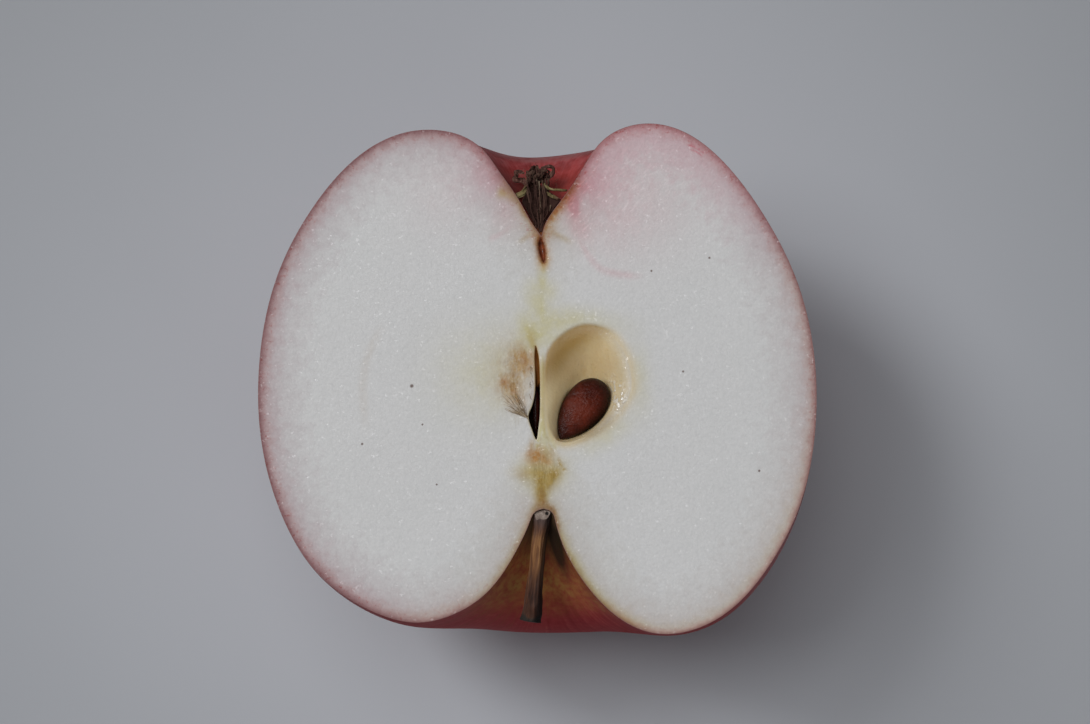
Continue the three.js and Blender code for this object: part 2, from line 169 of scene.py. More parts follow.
SEPAL_THICKNESS = 0.3
SEPALS = {
    "sepal_left": {
        "spine": [(-3.7, 25.6, -0.8), (-2.5, 26.2, -1.0), (-2.1, 27.3, -1.5), (-2.8, 28.2, -1.9),
                  (-3.7, 28.5, -2.1), (-3.5, 29.4, -2.2), (-2.6, 29.2, -1.9)],
        "width": 0.9, "across": (0.3, 0.75, 0.6), "cup": 0.2, "green": (0.95, 0.12, 0.42),
    },
    "sepal_back": {
        "spine": [(-1.0, 26.6, -3.3), (-1.2, 28.0, -3.1), (-1.1, 29.2, -2.8), (-0.6, 29.9, -2.5),
                  (0.0, 29.8, -2.2), (0.2, 29.0, -2.0)],
        "width": 2.0, "across": (1, 0.1, 0.2), "cup": 0.35, "green": (0.3, 0.0, 0.3),
    },
    "sepal_loop": {
        "spine": [(0.15, 27.9, -2.6), (-0.05, 28.6, -2.6), (-0.08, 29.3, -2.6), (0.25, 29.95, -2.5),
                  (0.95, 30.2, -2.4), (1.5, 29.9, -2.3), (1.45, 29.3, -2.2), (1.0, 28.75, -2.2), (0.5, 28.35, -2.2)],
        "width": 0.55, "across": (0.3, -0.25, 0.9), "cup": 0.1, "green": (0.3, 0.0, 0.2),
    },
    "sepal_right": {
        "spine": [(0.3, 27.5, -1.0), (0.75, 26.95, -0.8), (1.4, 26.6, -0.6), (2.3, 26.45, -0.45), (3.5, 26.4, -0.4)],
        "width": 0.36, "across": (0.1, 0.85, -0.5), "cup": 0.06, "green": (0.95, 0.7, 1.3),
    },
    "sepal_shred": {
        "spine": [(0.7, 26.15, -0.75), (1.3, 25.7, -0.6), (1.95, 25.4, -0.5), (2.6, 25.15, -0.5)],
        "width": 0.5, "across": (0.5, 0.8, -0.2), "cup": 0.08, "green": (0.75, 0.3, 1.2),
    },
}
TUFT = {
    "bottom": 20.6, "shoulder": 24.9, "top": 27.1, "top_middle": -0.8, "top_half": 1.05, "front": -0.7,
    "foot": (-0.25, 21.0, -0.5), "stamens": 40, "fan_x": (-2.1, 1.0), "fan_y": 27.0, "fan_z": (-0.5, -2.2),
    "radius": (0.05, 0.13),
}

# ------------------------------------------------------------------ small maths


def smoothstep(value, low, high):
    """Eases from 0 at low to 1 at high."""
    t = np.clip((value - low) / (high - low), 0, 1)
    return t * t * (3 - 2 * t)


def lerp(a, b, share):
    """From a at a share of 0 to b at 1."""
    return a + (b - a) * share


def unit(vectors):
    """The same directions at length 1."""
    vectors = np.asarray(vectors, float)
    return vectors / np.linalg.norm(vectors, axis=-1, keepdims=True)


class NaturalSpline:
    """A smooth curve through rows of values at rising knots, with free ends."""

    def __init__(self, knots, values):
        self.knots, self.values = np.asarray(knots, float), np.asarray(values, float)
        span = np.diff(self.knots)
        slope = np.diff(self.values, axis=0) / span.reshape(-1, *[1] * (self.values.ndim - 1))
        system = np.eye(len(self.knots))
        turn = np.zeros_like(self.values)
        for i in range(1, len(span)):
            system[i, i - 1:i + 2] = span[i - 1], 2 * (span[i - 1] + span[i]), span[i]
            turn[i] = 6 * (slope[i] - slope[i - 1])
        self.bend = np.linalg.solve(system, turn)

    def __call__(self, s):
        s = np.asarray(s, float)
        i = np.clip(np.searchsorted(self.knots, s, side="right") - 1, 0, len(self.knots) - 2)
        span = self.knots[i + 1] - self.knots[i]
        b = (s - self.knots[i]) / span
        a = 1 - b
        shape = s.shape + (1,) * (self.values.ndim - 1)
        a, b, span = a.reshape(shape), b.reshape(shape), span.reshape(shape)
        curve = (a ** 3 - a) * self.bend[i] + (b ** 3 - b) * self.bend[i + 1]
        return a * self.values[i] + b * self.values[i + 1] + curve * span * span / 6


def smooth_path(marks, count, closed=False):
    """Points of the Catmull-Rom curve through marks, evenly spaced in its own measure."""
    marks = np.asarray(marks, float)
    if closed:
        before, after = marks[-1:], marks[:2]
    else:
        before, after = 2 * marks[:1] - marks[1:2], 2 * marks[-1:] - marks[-2:-1]
    padded = np.vstack([before, marks, after])
    spans = len(marks) if closed else len(marks) - 1
    where = np.linspace(0, spans, count + 1)[:-1] if closed else np.linspace(0, spans, count)
    i = np.minimum(where.astype(int), spans - 1)
    t = (where - i)[:, None]
    p0, p1, p2, p3 = (padded[i + k] for k in range(4))
    m1, m2 = (p2 - p0) / 2, (p3 - p1) / 2
    return ((2 * t ** 3 - 3 * t ** 2 + 1) * p1 + (t ** 3 - 2 * t ** 2 + t) * m1
            + (3 * t ** 2 - 2 * t ** 3) * p2 + (t ** 3 - t ** 2) * m2)


def ripple(points, size, seed, waves=14):
    """Smooth unevenness from -1 to 1, with features about size across."""
    draw = np.random.default_rng(seed)
    points = np.asarray(points, float)
    directions = unit(draw.normal(size=(waves, points.shape[1])))
    lengths = size * draw.uniform(1.4, 3.2, waves)
    phases = draw.uniform(0, 2 * np.pi, waves)
    total = np.zeros(len(points))
    for direction, length, phase in zip(directions, lengths, phases):
        total += np.sin(points @ direction * (2 * np.pi / length) + phase)
    return np.clip(total / (0.7 * math.sqrt(waves) * 1.7), -1, 1)


def inside(points, loop):
    """Which 2-D points lie inside a closed loop."""
    found = np.zeros(len(points), bool)
    x, y = points[:, 0], points[:, 1]
    for (x0, y0), (x1, y1) in zip(loop, np.roll(loop, -1, axis=0)):
        crosses = (y0 > y) != (y1 > y)
        with np.errstate(divide="ignore", invalid="ignore"):
            found ^= crosses & (x < (x1 - x0) * (y - y0) / (y1 - y0) + x0)
    return found


def distance_to(points, path, closed=False):
    """Distance from each 2-D point to a path, and how far along it the nearest place is, 0 to 1."""
    ends = np.roll(path, -1, axis=0) if closed else path[1:]
    starts = path if closed else path[:-1]
    best = np.full(len(points), 1e9)
    share = np.zeros(len(points))
    for k, (start, end) in enumerate(zip(starts, ends)):
        along = end - start
        t = np.clip((points - start) @ along / max(along @ along, 1e-12), 0, 1)
        away = np.linalg.norm(points - start - t[:, None] * along, axis=1)
        nearer = away < best
        best[nearer] = away[nearer]
        share[nearer] = (k + t[nearer]) / len(starts)
    return best, share


# ------------------------------------------------------------------ the apple's outer form

marks = np.array(list(OUTLINE.values()), float)
middle_marks = (marks[:, :2] + marks[:, 2:]) / 2
knots = np.concatenate([[0], np.cumsum(np.linalg.norm(np.diff(middle_marks, axis=0), axis=1) ** KNOT_POWER)])
outline = NaturalSpline(knots, marks)


def skin_point(s, turn):
    """Points of the skin: s runs down the outline, turn from the right cut edge (0) under the apple to pi."""
    right_r, right_h, left_r, left_h = np.moveaxis(outline(s), -1, 0)
    left_share = (1 - np.cos(turn)) / 2
    distance, height = lerp(right_r, left_r, left_share), lerp(right_h, left_h, left_share)
    out_of_core = smoothstep(distance, 0, LOBES_CORE)
    calyx = smoothstep(height, LOBES_START, LOBES_FULL) * out_of_core
    stem = smoothstep(-height, LOBES_START, LOBES_FULL) * out_of_core
    back = np.sin(turn) ** 2
    calyx_wave = np.cos(5 * turn) - np.cos(turn)
    stem_wave = np.sin(5 * turn)
    radius = distance * (1 + calyx * CALYX_LOBES["swell"] * calyx_wave + stem * STEM_LOBES["swell"] * stem_wave)
    rise = calyx * (CALYX_LOBES["rise"] * calyx_wave - CALYX_LOBES["back_dip"] * back)
    rise += stem * (STEM_LOBES["back_dip"] * back + STEM_LOBES["tilt"] * np.sin(2 * turn)
                    - STEM_LOBES["rise"] * stem_wave)
    return np.stack([radius * np.cos(turn), height + rise, -radius * np.sin(turn)], axis=-1)


def core_origin():
    """Where the core axis crosses the cut in the row frame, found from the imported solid's box."""
    s = np.linspace(0, knots[-1], 4000)
    edge = np.concatenate([skin_point(s, np.full_like(s, turn)) for turn in np.linspace(0, np.pi, 37)])
    low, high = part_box("apple_half")
    own_middle = (edge.min(0) + edge.max(0)) / 2 * MM
    return np.array([(low.x + high.x) / 2 - own_middle[0], (low.y + high.y) / 2 - own_middle[1], high.z])


ORIGIN = core_origin()


def place(points):
    """Core millimetres to metres in the row frame."""
    return np.asarray(points, float) * MM + ORIGIN


# ------------------------------------------------------------------ making pieces


class Part:
    """Points, faces, and named values at the points, gathered before they become one mesh."""

    def __init__(self):
        self.points, self.faces, self.materials = np.zeros((0, 3)), [], []
        self.values = {}

    def add(self, points, faces, material=0, **values):
        """Adds a shape and returns the number of its first point."""
        points = np.asarray(points, float).reshape(-1, 3)
        first, count = len(self.points), len(points)
        self.points = np.vstack([self.points, points])
        for name in sorted({*self.values, *values}):
            given = values.get(name, 0.0)
            old = self.values.get(name)
            wide = np.ndim(given) == 2 or (old is not None and old.ndim == 2)
            if old is None:
                old = np.zeros((first, 3)) if wide else np.zeros(first)
            new = np.broadcast_to(given, (count, 3) if wide else (count,))
            self.values[name] = np.concatenate([old, new])
        self.faces += [tuple(int(first + i) for i in face) for face in faces]
        self.materials += [material] * len(faces)
        return first

    def faces_between(self, faces, material):
        """Adds faces between points that are already there."""
        self.faces += [tuple(int(i) for i in face) for face in faces]
        self.materials += [material] * len(faces)


def put_in_scene(name, data):
    """An object that shows a mesh, a light or a camera."""
    made = bpy.data.objects.new(name, data)
    bpy.context.scene.collection.objects.link(made)
    return made


def make_piece(name, part, materials, slot, *nodes, sharp=()):
    """One mesh from a part, which rides on the body and stands for the nodes of the solid."""
    mesh = bpy.data.meshes.new(name)
    mesh.from_pydata(place(part.points).tolist(), [], part.faces)
    for material in materials:
        mesh.materials.append(material)
    mesh.polygons.foreach_set("material_index", part.materials)
    mesh.polygons.foreach_set("use_smooth", [True] * len(part.faces))
    for key, value in part.values.items():
        kind = "FLOAT_VECTOR" if value.ndim == 2 else "FLOAT"
        layer = mesh.attributes.new(key, kind, "POINT")
        layer.data.foreach_set("vector" if value.ndim == 2 else "value", value.astype(np.float32).ravel())
    if len(sharp):
        crease = {tuple(sorted(pair)) for pair in sharp}
        layer = mesh.attributes.new("sharp_edge", "BOOLEAN", "EDGE")
        layer.data.foreach_set("value", [tuple(sorted(edge.vertices)) in crease for edge in mesh.edges])
    mesh.validate()
    mesh.update()
    piece = put_in_scene(name, mesh)
    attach(piece, "root")
    if nodes:
        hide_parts(*nodes)
    return piece


def ring_faces(loops, count, first=0):
    """Quads between neighbouring closed loops of count points each."""
    return [(first + a * count + i, first + a * count + (i + 1) % count,
             first + (a + 1) * count + (i + 1) % count, first + (a + 1) * count + i)
            for a in range(loops - 1) for i in range(count)]


def capped_loft(loops):
    """A closed body through equal loops (levels, count, 3), with a fan at each end."""
    levels, count = loops.shape[:2]
    points = np.vstack([loops.reshape(-1, 3), loops[0].mean(0), loops[-1].mean(0)])
    first, last = levels * count, levels * count + 1
    faces = ring_faces(levels, count)
    faces += [(first, (i + 1) % count, i) for i in range(count)]
    faces += [(last, (levels - 1) * count + i, (levels - 1) * count + (i + 1) % count) for i in range(count)]
    corners = np.array([(f[0], f[i], f[i + 1]) for f in faces for i in range(1, len(f) - 1)])
    a, b, c = (points[corners[:, k]] - points[0] for k in range(3))
    volume = np.sum(a * np.cross(b, c))
    return points, faces if volume > 0 else [face[::-1] for face in faces]


def frames_along(path):
    """Side and up directions at each point of a path, kept free of twist."""
    along = unit(np.gradient(path, axis=0))
    side = np.zeros_like(path)
    side[0] = unit(np.cross(along[0], (0, 0, 1)))
    for i in range(1, len(path)):
        side[i] = unit(side[i - 1] - along[i] * (side[i - 1] @ along[i]))
    return side, np.cross(side, along)


def tube(path, radius, sides, form=None):
    """A closed tube; form(share along, angle) multiplies its radius."""
    path = np.asarray(path, float)
    side, up = frames_along(path)
    angle = np.linspace(0, 2 * np.pi, sides, endpoint=False)
    reach = np.broadcast_to(np.asarray(radius, float).reshape(-1, 1), (len(path), sides)).copy()
    if form is not None:
        reach *= form(np.linspace(0, 1, len(path))[:, None], angle[None, :])
    across, lift = ((wave(angle) * reach)[..., None] for wave in (np.cos, np.sin))
    return capped_loft(path[:, None] + side[:, None] * across + up[:, None] * lift)


# ------------------------------------------------------------------ node materials

EDGE_DEPTH = 8.0  # how far in from the skin the flesh is tinted
EDGE_TONES = {  # distance in from the skin, and how plain flesh looks there
    "rosy": ((0.0, (96, 50, 54)), (0.22, (124, 88, 90)), (0.6, (146, 116, 117)), (1.1, (162, 141, 142)),
             (2.0, (170, 159, 161)), (3.8, (178, 174, 175)), (EDGE_DEPTH, (188, 188, 188))),
    "flushed": ((0.0, (134, 82, 86)), (0.35, (154, 110, 113)), (0.75, (168, 131, 135)), (1.2, (174, 147, 150)),
                (2.0, (180, 160, 164)), (3.8, (184, 170, 173)), (EDGE_DEPTH, (188, 188, 188))),
    "creamy": ((0.0, (104, 64, 62)), (0.18, (140, 108, 100)), (0.5, (163, 142, 132)), (1.0, (172, 163, 154)),
               (2.0, (177, 172, 169)), (3.8, (182, 180, 179)), (EDGE_DEPTH, (188, 188, 188))),
    "tawny": ((0.0, (112, 82, 64)), (0.18, (146, 128, 106)), (0.5, (161, 151, 134)), (1.0, (171, 166, 158)),
              (2.0, (177, 174, 171)), (3.8, (182, 181, 179)), (EDGE_DEPTH, (188, 188, 188))),
}


def linear(*rgb):
    """Linear colour from bytes."""
    share = np.array(rgb, float) / 255
    return np.where(share <= 0.04045, share / 12.92, ((share + 0.055) / 1.055) ** 2.4)


WHITE = (1, 1, 1, 1)
FLESH_REFLECTS = 0.8
FLESH_LOOKS = linear(188, 188, 188)[0]


def seen(r, g, b, gain=1.0):
    """The reflectance of what looks like these bytes where plain flesh looks 188 grey."""
    return (*np.clip(linear(r, g, b) * (FLESH_REFLECTS / FLESH_LOOKS) * gain, 0, 0.95).tolist(), 1.0)


def tint(r, g, b):
    """What plain flesh is multiplied by to look like these bytes."""
    return (*np.clip(linear(r, g, b) / FLESH_LOOKS, 0, 1).tolist(), 1.0)


class Shader:
    """A material, built up by small calls.  Sizes of textures are in millimetres."""

    def __init__(self, name):
        self.material = bpy.data.materials.new(name)
        self.material.use_nodes = True
        self.tree = self.material.node_tree
        self.tree.nodes.clear()
        self.surface = self.tree.nodes.new("ShaderNodeBsdfPrincipled")
        output = self.tree.nodes.new("ShaderNodeOutputMaterial")
        self.tree.links.new(self.surface.outputs[0], output.inputs["Surface"])
        self.here = self.node("TexCoord", {}, output="Object")

    def node(self, kind, inputs, output=0, **settings):
        made = self.tree.nodes.new("ShaderNode" + kind)
        for key, value in settings.items():
            setattr(made, key, value)
        for key, value in inputs.items():
            self.feed(made.inputs[key], value)
        return made.outputs[output]

    def feed(self, socket, value):
        if isinstance(value, bpy.types.NodeSocket):
            self.tree.links.new(value, socket)
        else:
            socket.default_value = value

    def set(self, **values):
        for key, value in values.items():
            self.feed(self.surface.inputs[key.replace("_", " ").title().replace("Ior", "IOR")], value)

    def value(self, name):
        return self.node("Attribute", {}, output="Fac", attribute_name=name)

    def vector(self, name):
        return self.node("Attribute", {}, output="Vector", attribute_name=name)

    def math(self, operation, a, b=0.0, clamp=False):
        return self.node("Math", {0: a, 1: b}, operation=operation, use_clamp=clamp)

    def times(self, a, b):
        return self.math("MULTIPLY", a, b)

    def plus(self, a, b, clamp=False):
        return self.math("ADD", a, b, clamp)

    def step(self, value, low, high, to_low=0.0, to_high=1.0):
        """A smooth step; low may be above high for a falling one."""
        if low > high:
            low, high, to_low, to_high = high, low, to_high, to_low
        return self.node("MapRange", {"Value": value, "From Min": low, "From Max": high, "To Min": to_low,
                                      "To Max": to_high}, interpolation_type="SMOOTHSTEP")

    def mix(self, share, a, b, blend="MIX"):
        made = self.tree.nodes.new("ShaderNodeMix")
        made.data_type, made.blend_type = "RGBA", blend
        self.feed(made.inputs["Factor"], share)
        colours = [i for i in made.inputs if i.type == "RGBA"]
        self.feed(colours[0], a)
        self.feed(colours[1], b)
        return [o for o in made.outputs if o.type == "RGBA"][0]

    def tinted(self, colour, share, tone):
        return self.mix(1.0, colour, self.mix(share, WHITE, tone), "MULTIPLY")

    def stained(self, colour, name, breakup, steps, tone):
        """Tints a colour by the value stored under that name, broken up by a stepped noise."""
        return self.tinted(colour, self.times(self.value(name), self.step(breakup, *steps)), tone)

    def axis(self, name):
        return self.node("SeparateXYZ", {0: self.here}, output=name)

    def ramp(self, share, *stops):
        made = self.tree.nodes.new("ShaderNodeValToRGB")
        self.feed(made.inputs["Fac"], share)
        for i, (where, colour) in enumerate(stops):
            element = made.color_ramp.elements[i] if i < 2 else made.color_ramp.elements.new(where)
            element.position, element.color = where, colour
        return made.outputs["Color"]

    def scaled(self, size, stretch=(1, 1, 1), source=None, unit_length=1000.0):
        """Texture coordinates in which one unit is size millimetres, longer along stretched axes."""
        factors = tuple(unit_length / (size * along) for along in stretch)
        return self.node("VectorMath", {0: source or self.here, 1: factors}, operation="MULTIPLY")

    def noise(self, size, detail=2.0, roughness=0.5, stretch=(1, 1, 1), source=None, warp=0.0, unit_length=1000.0):
        where = self.scaled(size, stretch, source, unit_length)
        return self.node("TexNoise", {"Vector": where, "Scale": 1.0, "Detail": detail, "Roughness": roughness,
                                      "Distortion": warp}, output="Fac")

    def cells(self, size):
        return self.node("TexVoronoi", {"Vector": self.scaled(size), "Scale": 1.0}, output="Distance")

    def band(self, value, start, full, fade, end):
        """Rises from start to full and falls again from fade to end."""
        return self.times(self.step(value, start, full), self.step(value, end, fade))

    def bump(self, height, depth, normal=None):
        """A bump of that height over depth millimetres."""
        inputs = {"Height": height, "Distance": depth * MM, "Strength": 1.0}
        if normal is not None:
            inputs["Normal"] = normal
        return self.node("Bump", inputs, output="Normal")


# ------------------------------------------------------------------ stains and lines on the cut


def patch(points, at, size, angle=0.0):
    """A soft ellipse: 1 in its middle and about 0.14 at its edge."""
    turn = math.radians(angle)
    away = points - np.array(at, float)
    u = away[:, 0] * math.cos(turn) + away[:, 1] * math.sin(turn)
    v = -away[:, 0] * math.sin(turn) + away[:, 1] * math.cos(turn)
    return np.exp(-2 * ((u / size[0]) ** 2 + (v / size[1]) ** 2))


def line(points, through, width, fade=0.25):
    """A soft line through marks that fades towards its ends."""
    path = smooth_path(through, 12 * (len(through) - 1) + 1)
    away, share = distance_to(points, path)
    return np.exp(-(away / width) ** 2) * smoothstep(share, 0, fade) * smoothstep(1 - share, 0, fade)


def edge_marks(side, first, last):
    """Landmarks along the outline of one side."""
    names = list(OUTLINE)
    sign, skip = (1, 0) if side == "right" else (-1, 2)
    return [(sign * OUTLINE[name][skip], OUTLINE[name][skip + 1])
            for name in names[names.index(first):names.index(last) + 1]]


# Patches have a strength, a middle, half-sizes and a tilt in degrees.  Lines have a strength,
# the marks they pass through and a width.
BLUSH = {
    "inner_lobe": (0.14, (8.6, 22.0), (6.0, 7.6), 35),
    "lobe_wide": (0.3, (12.0, 26.0), (12.5, 11.0), 0),
    "red_blotch": (1.1, (4.4, 24.2), (0.8, 1.8), 5),
    "funnel_right": (0.45, (4.9, 21.8), (1.9, 3.8), 20),
    "funnel_wall": (0.5, (4.0, 25.2), (1.5, 2.6), -30),
    "funnel_brink": (0.35, (5.8, 26.6), (1.5, 2.2), -30),
    "inner_lobe_top": (0.16, (7.4, 26.6), (2.6, 4.5), -30),
    "funnel_left": (0.26, (-5.0, 23.0), (2.6, 3.8), 0),
    "left_lobe": (0.16, (-12.0, 27.0), (10.0, 9.0), 0),
    "left_brink": (0.3, (-7.6, 28.0), (2.2, 3.6), 30),
}
BLUSH_LINES = {
    "inner_vein": (0.34, [(4.6, 21.2), (5.6, 18.6), (8.0, 15.4), (11.5, 14.4), (14.9, 14.3)], 0.6),
    "short_vein": (0.22, [(6.6, 24.2), (8.4, 22.4), (11.0, 20.6)], 0.6),
    "left_vein": (0.3, [(-3.6, 22.0), (-5.5, 20.4), (-7.8, 19.4)], 0.5),
    "left_crest": (0.2, edge_marks("left", "funnel_mouth", "calyx_crest"), 2.0),
    "crest_streak": (1.2, [(19.8, 32.5), (21.2, 32.0), (22.7, 30.9)], 0.14),
    "crest_streak_below": (0.9, [(20.3, 31.8), (21.3, 31.4), (22.3, 30.6)], 0.11),
}
GREENING = {
    "left_of_core": (0.46, (-5.6, 1.2), (6.2, 8.6), 0),
    "left_outer": (0.2, (-11.0, 1.0), (7.0, 9.0), 0),
    "over_chamber": (0.6, (1.6, 6.8), (3.8, 4.4), 30),
    "above_slit": (0.75, (-1.6, 6.4), (2.8, 5.0), 0),
    "crown_halo": (0.6, (6.0, 8.2), (6.5, 2.2), -8),
    "outer_halo": (0.4, (13.2, 0.0), (2.2, 6.6), 4),
    "lower_halo": (0.5, (8.6, -7.6), (5.4, 2.2), 32),
    "column_foot": (0.8, (0.7, -8.4), (1.8, 2.8), 0),
    "pith": (1.2, (0.1, -12.6), (4.0, 3.4), 0),
    "stem_throat": (1.0, (0.0, -15.6), (1.3, 2.2), 0),
}
GREEN_LINES = {
    "core_line": (0.9, [(0.15, 17.6), (0.1, 14.0), (0.05, 10.0), (0.0, 6.5), (0.2, 3.0)], 0.8),
    "core_line_wide": (0.75, [(0.0, 15.5), (-0.2, 9.0), (0.1, 4.0)], 2.2),
    "slit_top": (1.3, [(-2.2, 8.0), (-1.6, 6.0), (-0.8, 3.6)], 0.7),
    "column": (1.2, [(0.15, 6.0), (0.12, 0.0), (0.15, -5.0), (0.6, -10.6)], 0.42),
    "foot_left": (1.1, [(0.1, -4.5), (-0.3, -7.6), (-0.9, -10.0)], 0.24),
    "foot_right": (1.1, [(0.6, -4.5), (1.3, -7.6), (2.2, -10.2)], 0.3),
    "right_cavity_edge": (0.9, edge_marks("right", "stem_crest", "cavity_throat"), 0.9),
    "left_cavity_edge": (0.4, edge_marks("left", "cavity_slope", "cavity_throat"), 0.5),
    "funnel_left_lip": (1.1, [(-6.6, 26.4), (-4.4, 25.8), (-3.0, 25.2)], 0.8),
    "funnel_left_wall": (1.1, edge_marks("left", "funnel_wall", "basin_wall"), 0.55),
    "below_canal": (1.2, [(-0.2, 19.4), (0.3, 17.0), (0.15, 13.4)], 0.5),
}
OCHRE = {
    "pith": (0.75, (0.1, -12.7), (3.0, 2.1), 0),
    "pith_right": (0.8, (1.7, -13.2), (1.2, 2.6), -32),
    "pith_low": (1.0, (0.0, -14.6), (1.4, 2.4), 0),
    "pith_left": (0.35, (-2.6, -12.4), (2.2, 1.2), 0),
    "throat": (1.0, (0.0, -16.6), (0.8, 1.8), 0),
    "pith_top": (0.6, (-0.6, -10.2), (1.7, 1.3), 0),
    "fleck": (0.9, (2.5, -11.2), (0.3, 0.9), 20),
    "fleck_low": (0.7, (3.1, -12.2), (0.5, 0.3), -20),
    "slit_top": (0.55, (-1.3, 5.7), (0.8, 1.9), 15),
}
OCHRE_LINES = {
    "column": (0.42, [(0.2, 4.4), (0.22, 0.0), (0.25, -5.0), (0.7, -9.0)], 0.22),
    "column_left": (0.3, [(-0.1, 2.4), (-0.05, -3.0), (-0.1, -7.6)], 0.12),
    "foot_stripe": (0.5, [(0.5, -7.0), (1.0, -8.6), (1.9, -10.6)], 0.13),
    "foot_stripe_left": (0.45, [(0.0, -7.4), (-0.2, -8.8), (-0.8, -10.2)], 0.12),
    "slit_top": (0.6, [(-1.7, 6.4), (-1.3, 5.2), (-0.9, 4.2)], 0.22),
    "left_vessel": (0.5, [(-0.5, 21.0), (-1.8, 20.0), (-3.4, 18.9)], 0.36),
    "right_vessel": (0.5, [(0.8, 20.8), (2.4, 19.9), (4.6, 18.8)], 0.4),
    "slit_foot": (0.6, [(-1.2, -7.8), (-1.3, -9.4), (-0.9, -11.0)], 0.24),
    "cavity_apex": (0.8, [(-1.6, -18.4), (0.0, -16.7), (1.7, -18.2)], 0.5),
}
BROWNING = {
    "scuff_top": (1.2, (-2.7, 2.7), (1.7, 2.7), 10),
    "scuff_middle": (0.9, (-4.5, -0.7), (2.1, 2.0), 0),
    "scuff_low": (0.8, (-3.4, -2.8), (1.6, 2.2), 35),
    "scuff_wide": (0.52, (-3.8, 1.4), (3.9, 5.4), 10),
    "slit_foot": (0.6, (-1.5, -9.4), (0.6, 2.2), -8),
    "pith_left": (0.3, (-2.5, -12.9), (1.5, 1.0), 0),
    "pith_right": (0.4, (1.2, -10.2), (1.4, 1.4), 0),
    "throat": (0.8, (0.0, -16.4), (0.9, 1.5), 0),
}
BROWN_AND_SHADE_LINES = {
    # Painted shade along the column, which lies between two hollows.
    "painted_column_shade": (0.32, [(0.25, 4.0), (0.25, 0.0), (0.28, -7.0)], 0.5),
    "chamber_left": (0.5, [(0.9, 5.2), (0.75, 2.0), (0.75, -3.0)], 0.16),
    "collar": (1.15, [(0.2, -17.0), (1.3, -17.3), (1.75, -18.3), (2.0, -19.6), (2.5, -21.0)], 0.42),
    "vascular_arc": (0.17, [(-21.3, 8.9), (-23.6, 4.0), (-24.4, -0.6), (-23.8, -8.1)], 0.5),
}
RUST = {
    "pith_orange": (1.15, (-0.6, -10.3), (1.9, 1.5), 10),
    "pith_orange_right": (0.5, (0.9, -11.2), (1.0, 0.7), 0),
    "slit_notch": (1.0, (-1.2, 2.2), (0.35, 0.6), 20),
    "scuff_spot": (0.6, (-5.0, -0.2), (0.9, 0.8), 0),
    "scuff_spot_low": (0.6, (-3.8, -1.6), (0.6, 0.5), 0),
    "scuff_spot_top": (0.5, (-2.4, 3.0), (0.7, 1.4), 10),
    "funnel_foot": (0.5, (0.9, 20.6), (1.8, 1.4), 0),
}
RUST_LINES = {
    "canal": (1.2, [(-0.5, 21.6), (-0.2, 19.4), (0.2, 17.4), (0.35, 14.6)], 0.85),
    "funnel_right": (1.2, edge_marks("right", "funnel_floor", "basin_wall"), 0.95),
    "funnel_left": (0.8, edge_marks("left", "funnel_floor", "funnel_mouth"), 0.3),
    "slit_left": (0.6, [(-1.3, 4.6), (-1.4, 2.6), (-1.2, 0.8)], 0.4),
}
SPECKS = {  # middle and radius
    "biggest": ((-17.7, -0.6), 0.24),
    "inner": ((-16.2, -5.9), 0.13),
    "outer": ((-24.4, -8.5), 0.16),
    "lower": ((-14.2, -14.1), 0.13),
    "upper_right": ((22.9, 16.6), 0.15),
    "right": ((15.0, 14.9), 0.14),
    "mid_right": ((19.2, 1.0), 0.14),
    "low_right": ((29.3, -12.6), 0.15),
}

STAINS = {
    "blush": (BLUSH, BLUSH_LINES),
    "greening": (GREENING, GREEN_LINES),
    "browning": (BROWNING, BROWN_AND_SHADE_LINES),
    "ochre": (OCHRE, OCHRE_LINES),
    "rust": (RUST, RUST_LINES),
}

# Painted shadows, painted glints and worn places, given like the patches above.
SHADES = {
    "soot": (1.5, (1.9, -22.3), (1.35, 5.6), 16),  # painted shadow of the stem on the cavity beside it
    "wet": (1.3, (10.3, -1.9), (1.3, 3.0), 12),  # juice drops to the right of the pip, with painted glints on their tops
    "foot": (1.2, (7.6, -6.4), (4.6, 2.4), 38),  # painted shadow of the pip in the hollow under it
    "scuff": (1.0, (-3.4, -0.8), (3.0, 6.5), 10),  # the torn patch beside the slit
    "pith": (1.0, (0.4, -12.0), (2.8, 4.4), 0),  # the worn pith under the chambers
    "bald_pith": (1.0, (0.4, -12.4), (2.6, 4.0), 0),
}


def shade(points, name):
    """How strong one of the shades is at each point, 0 to 1."""
    strength, *where = SHADES[name]
    return np.clip(strength * patch(points[:, :2], *where), 0, 1)


def stain(points, patches, lines):
    """How strong a stain is at each point of the cut."""
    total = np.zeros(len(points))
    for strength, at, size, angle in patches.values():
        total += strength * patch(points, at, size, angle)
    for strength, through, width in lines.values():
        total = np.maximum(total, strength * line(points, through, width))
    return np.clip(total, 0, 1.2)


# ------------------------------------------------------------------ flesh and skin

GENTLE_FROM = -0.45  # how far round from a gentle side its slope begins, as a cosine
SEED_BED = {"under": 0.15, "reach": (0.05, 0.5), "left": (0.0, 1.2)}
SOFT_SIDE = {"from": (6.2, 0.6), "heading": -0.15, "reach": (0.5, 7.0)}
# Where the painted shade under the upper left brim of the chamber lies.
BRIM_SHADE = {"middle": (7.2, -0.6), "radii": (5.6, 7.4), "ring": (0.5, 0.95), "towards": (-0.64, 0.77),
         "reach": (2.8, 6.6)}
RIM_LINING = {"fades": (0.2, 1.2), "loss": 0.1, "soft_loss": 0.3}
STEM_SHADOW_HEIGHTS = (-14, -8)
BROAD_LIP = (0.9, 3.5)  # where the lip of the chamber widens, away from the column
LIPS = {  # how far round a pocket the cut sinks, how deep, and how far its colour spreads
    "chamber": {"width": (0.3, 0.6, 0.25), "drop": (0.08, 0.2), "spread": (0.45, 0.85, 0.3)},  # column, rest, crown
    "slit": {"width": 0.16, "drop": 0.05, "spread": 0.12},
    "canal": {"width": 0.35, "drop": 0.15, "spread": 0.3},
}
KNIFE_WAVES = {"height": 0.03, "size": 6.0, "seed": 3}
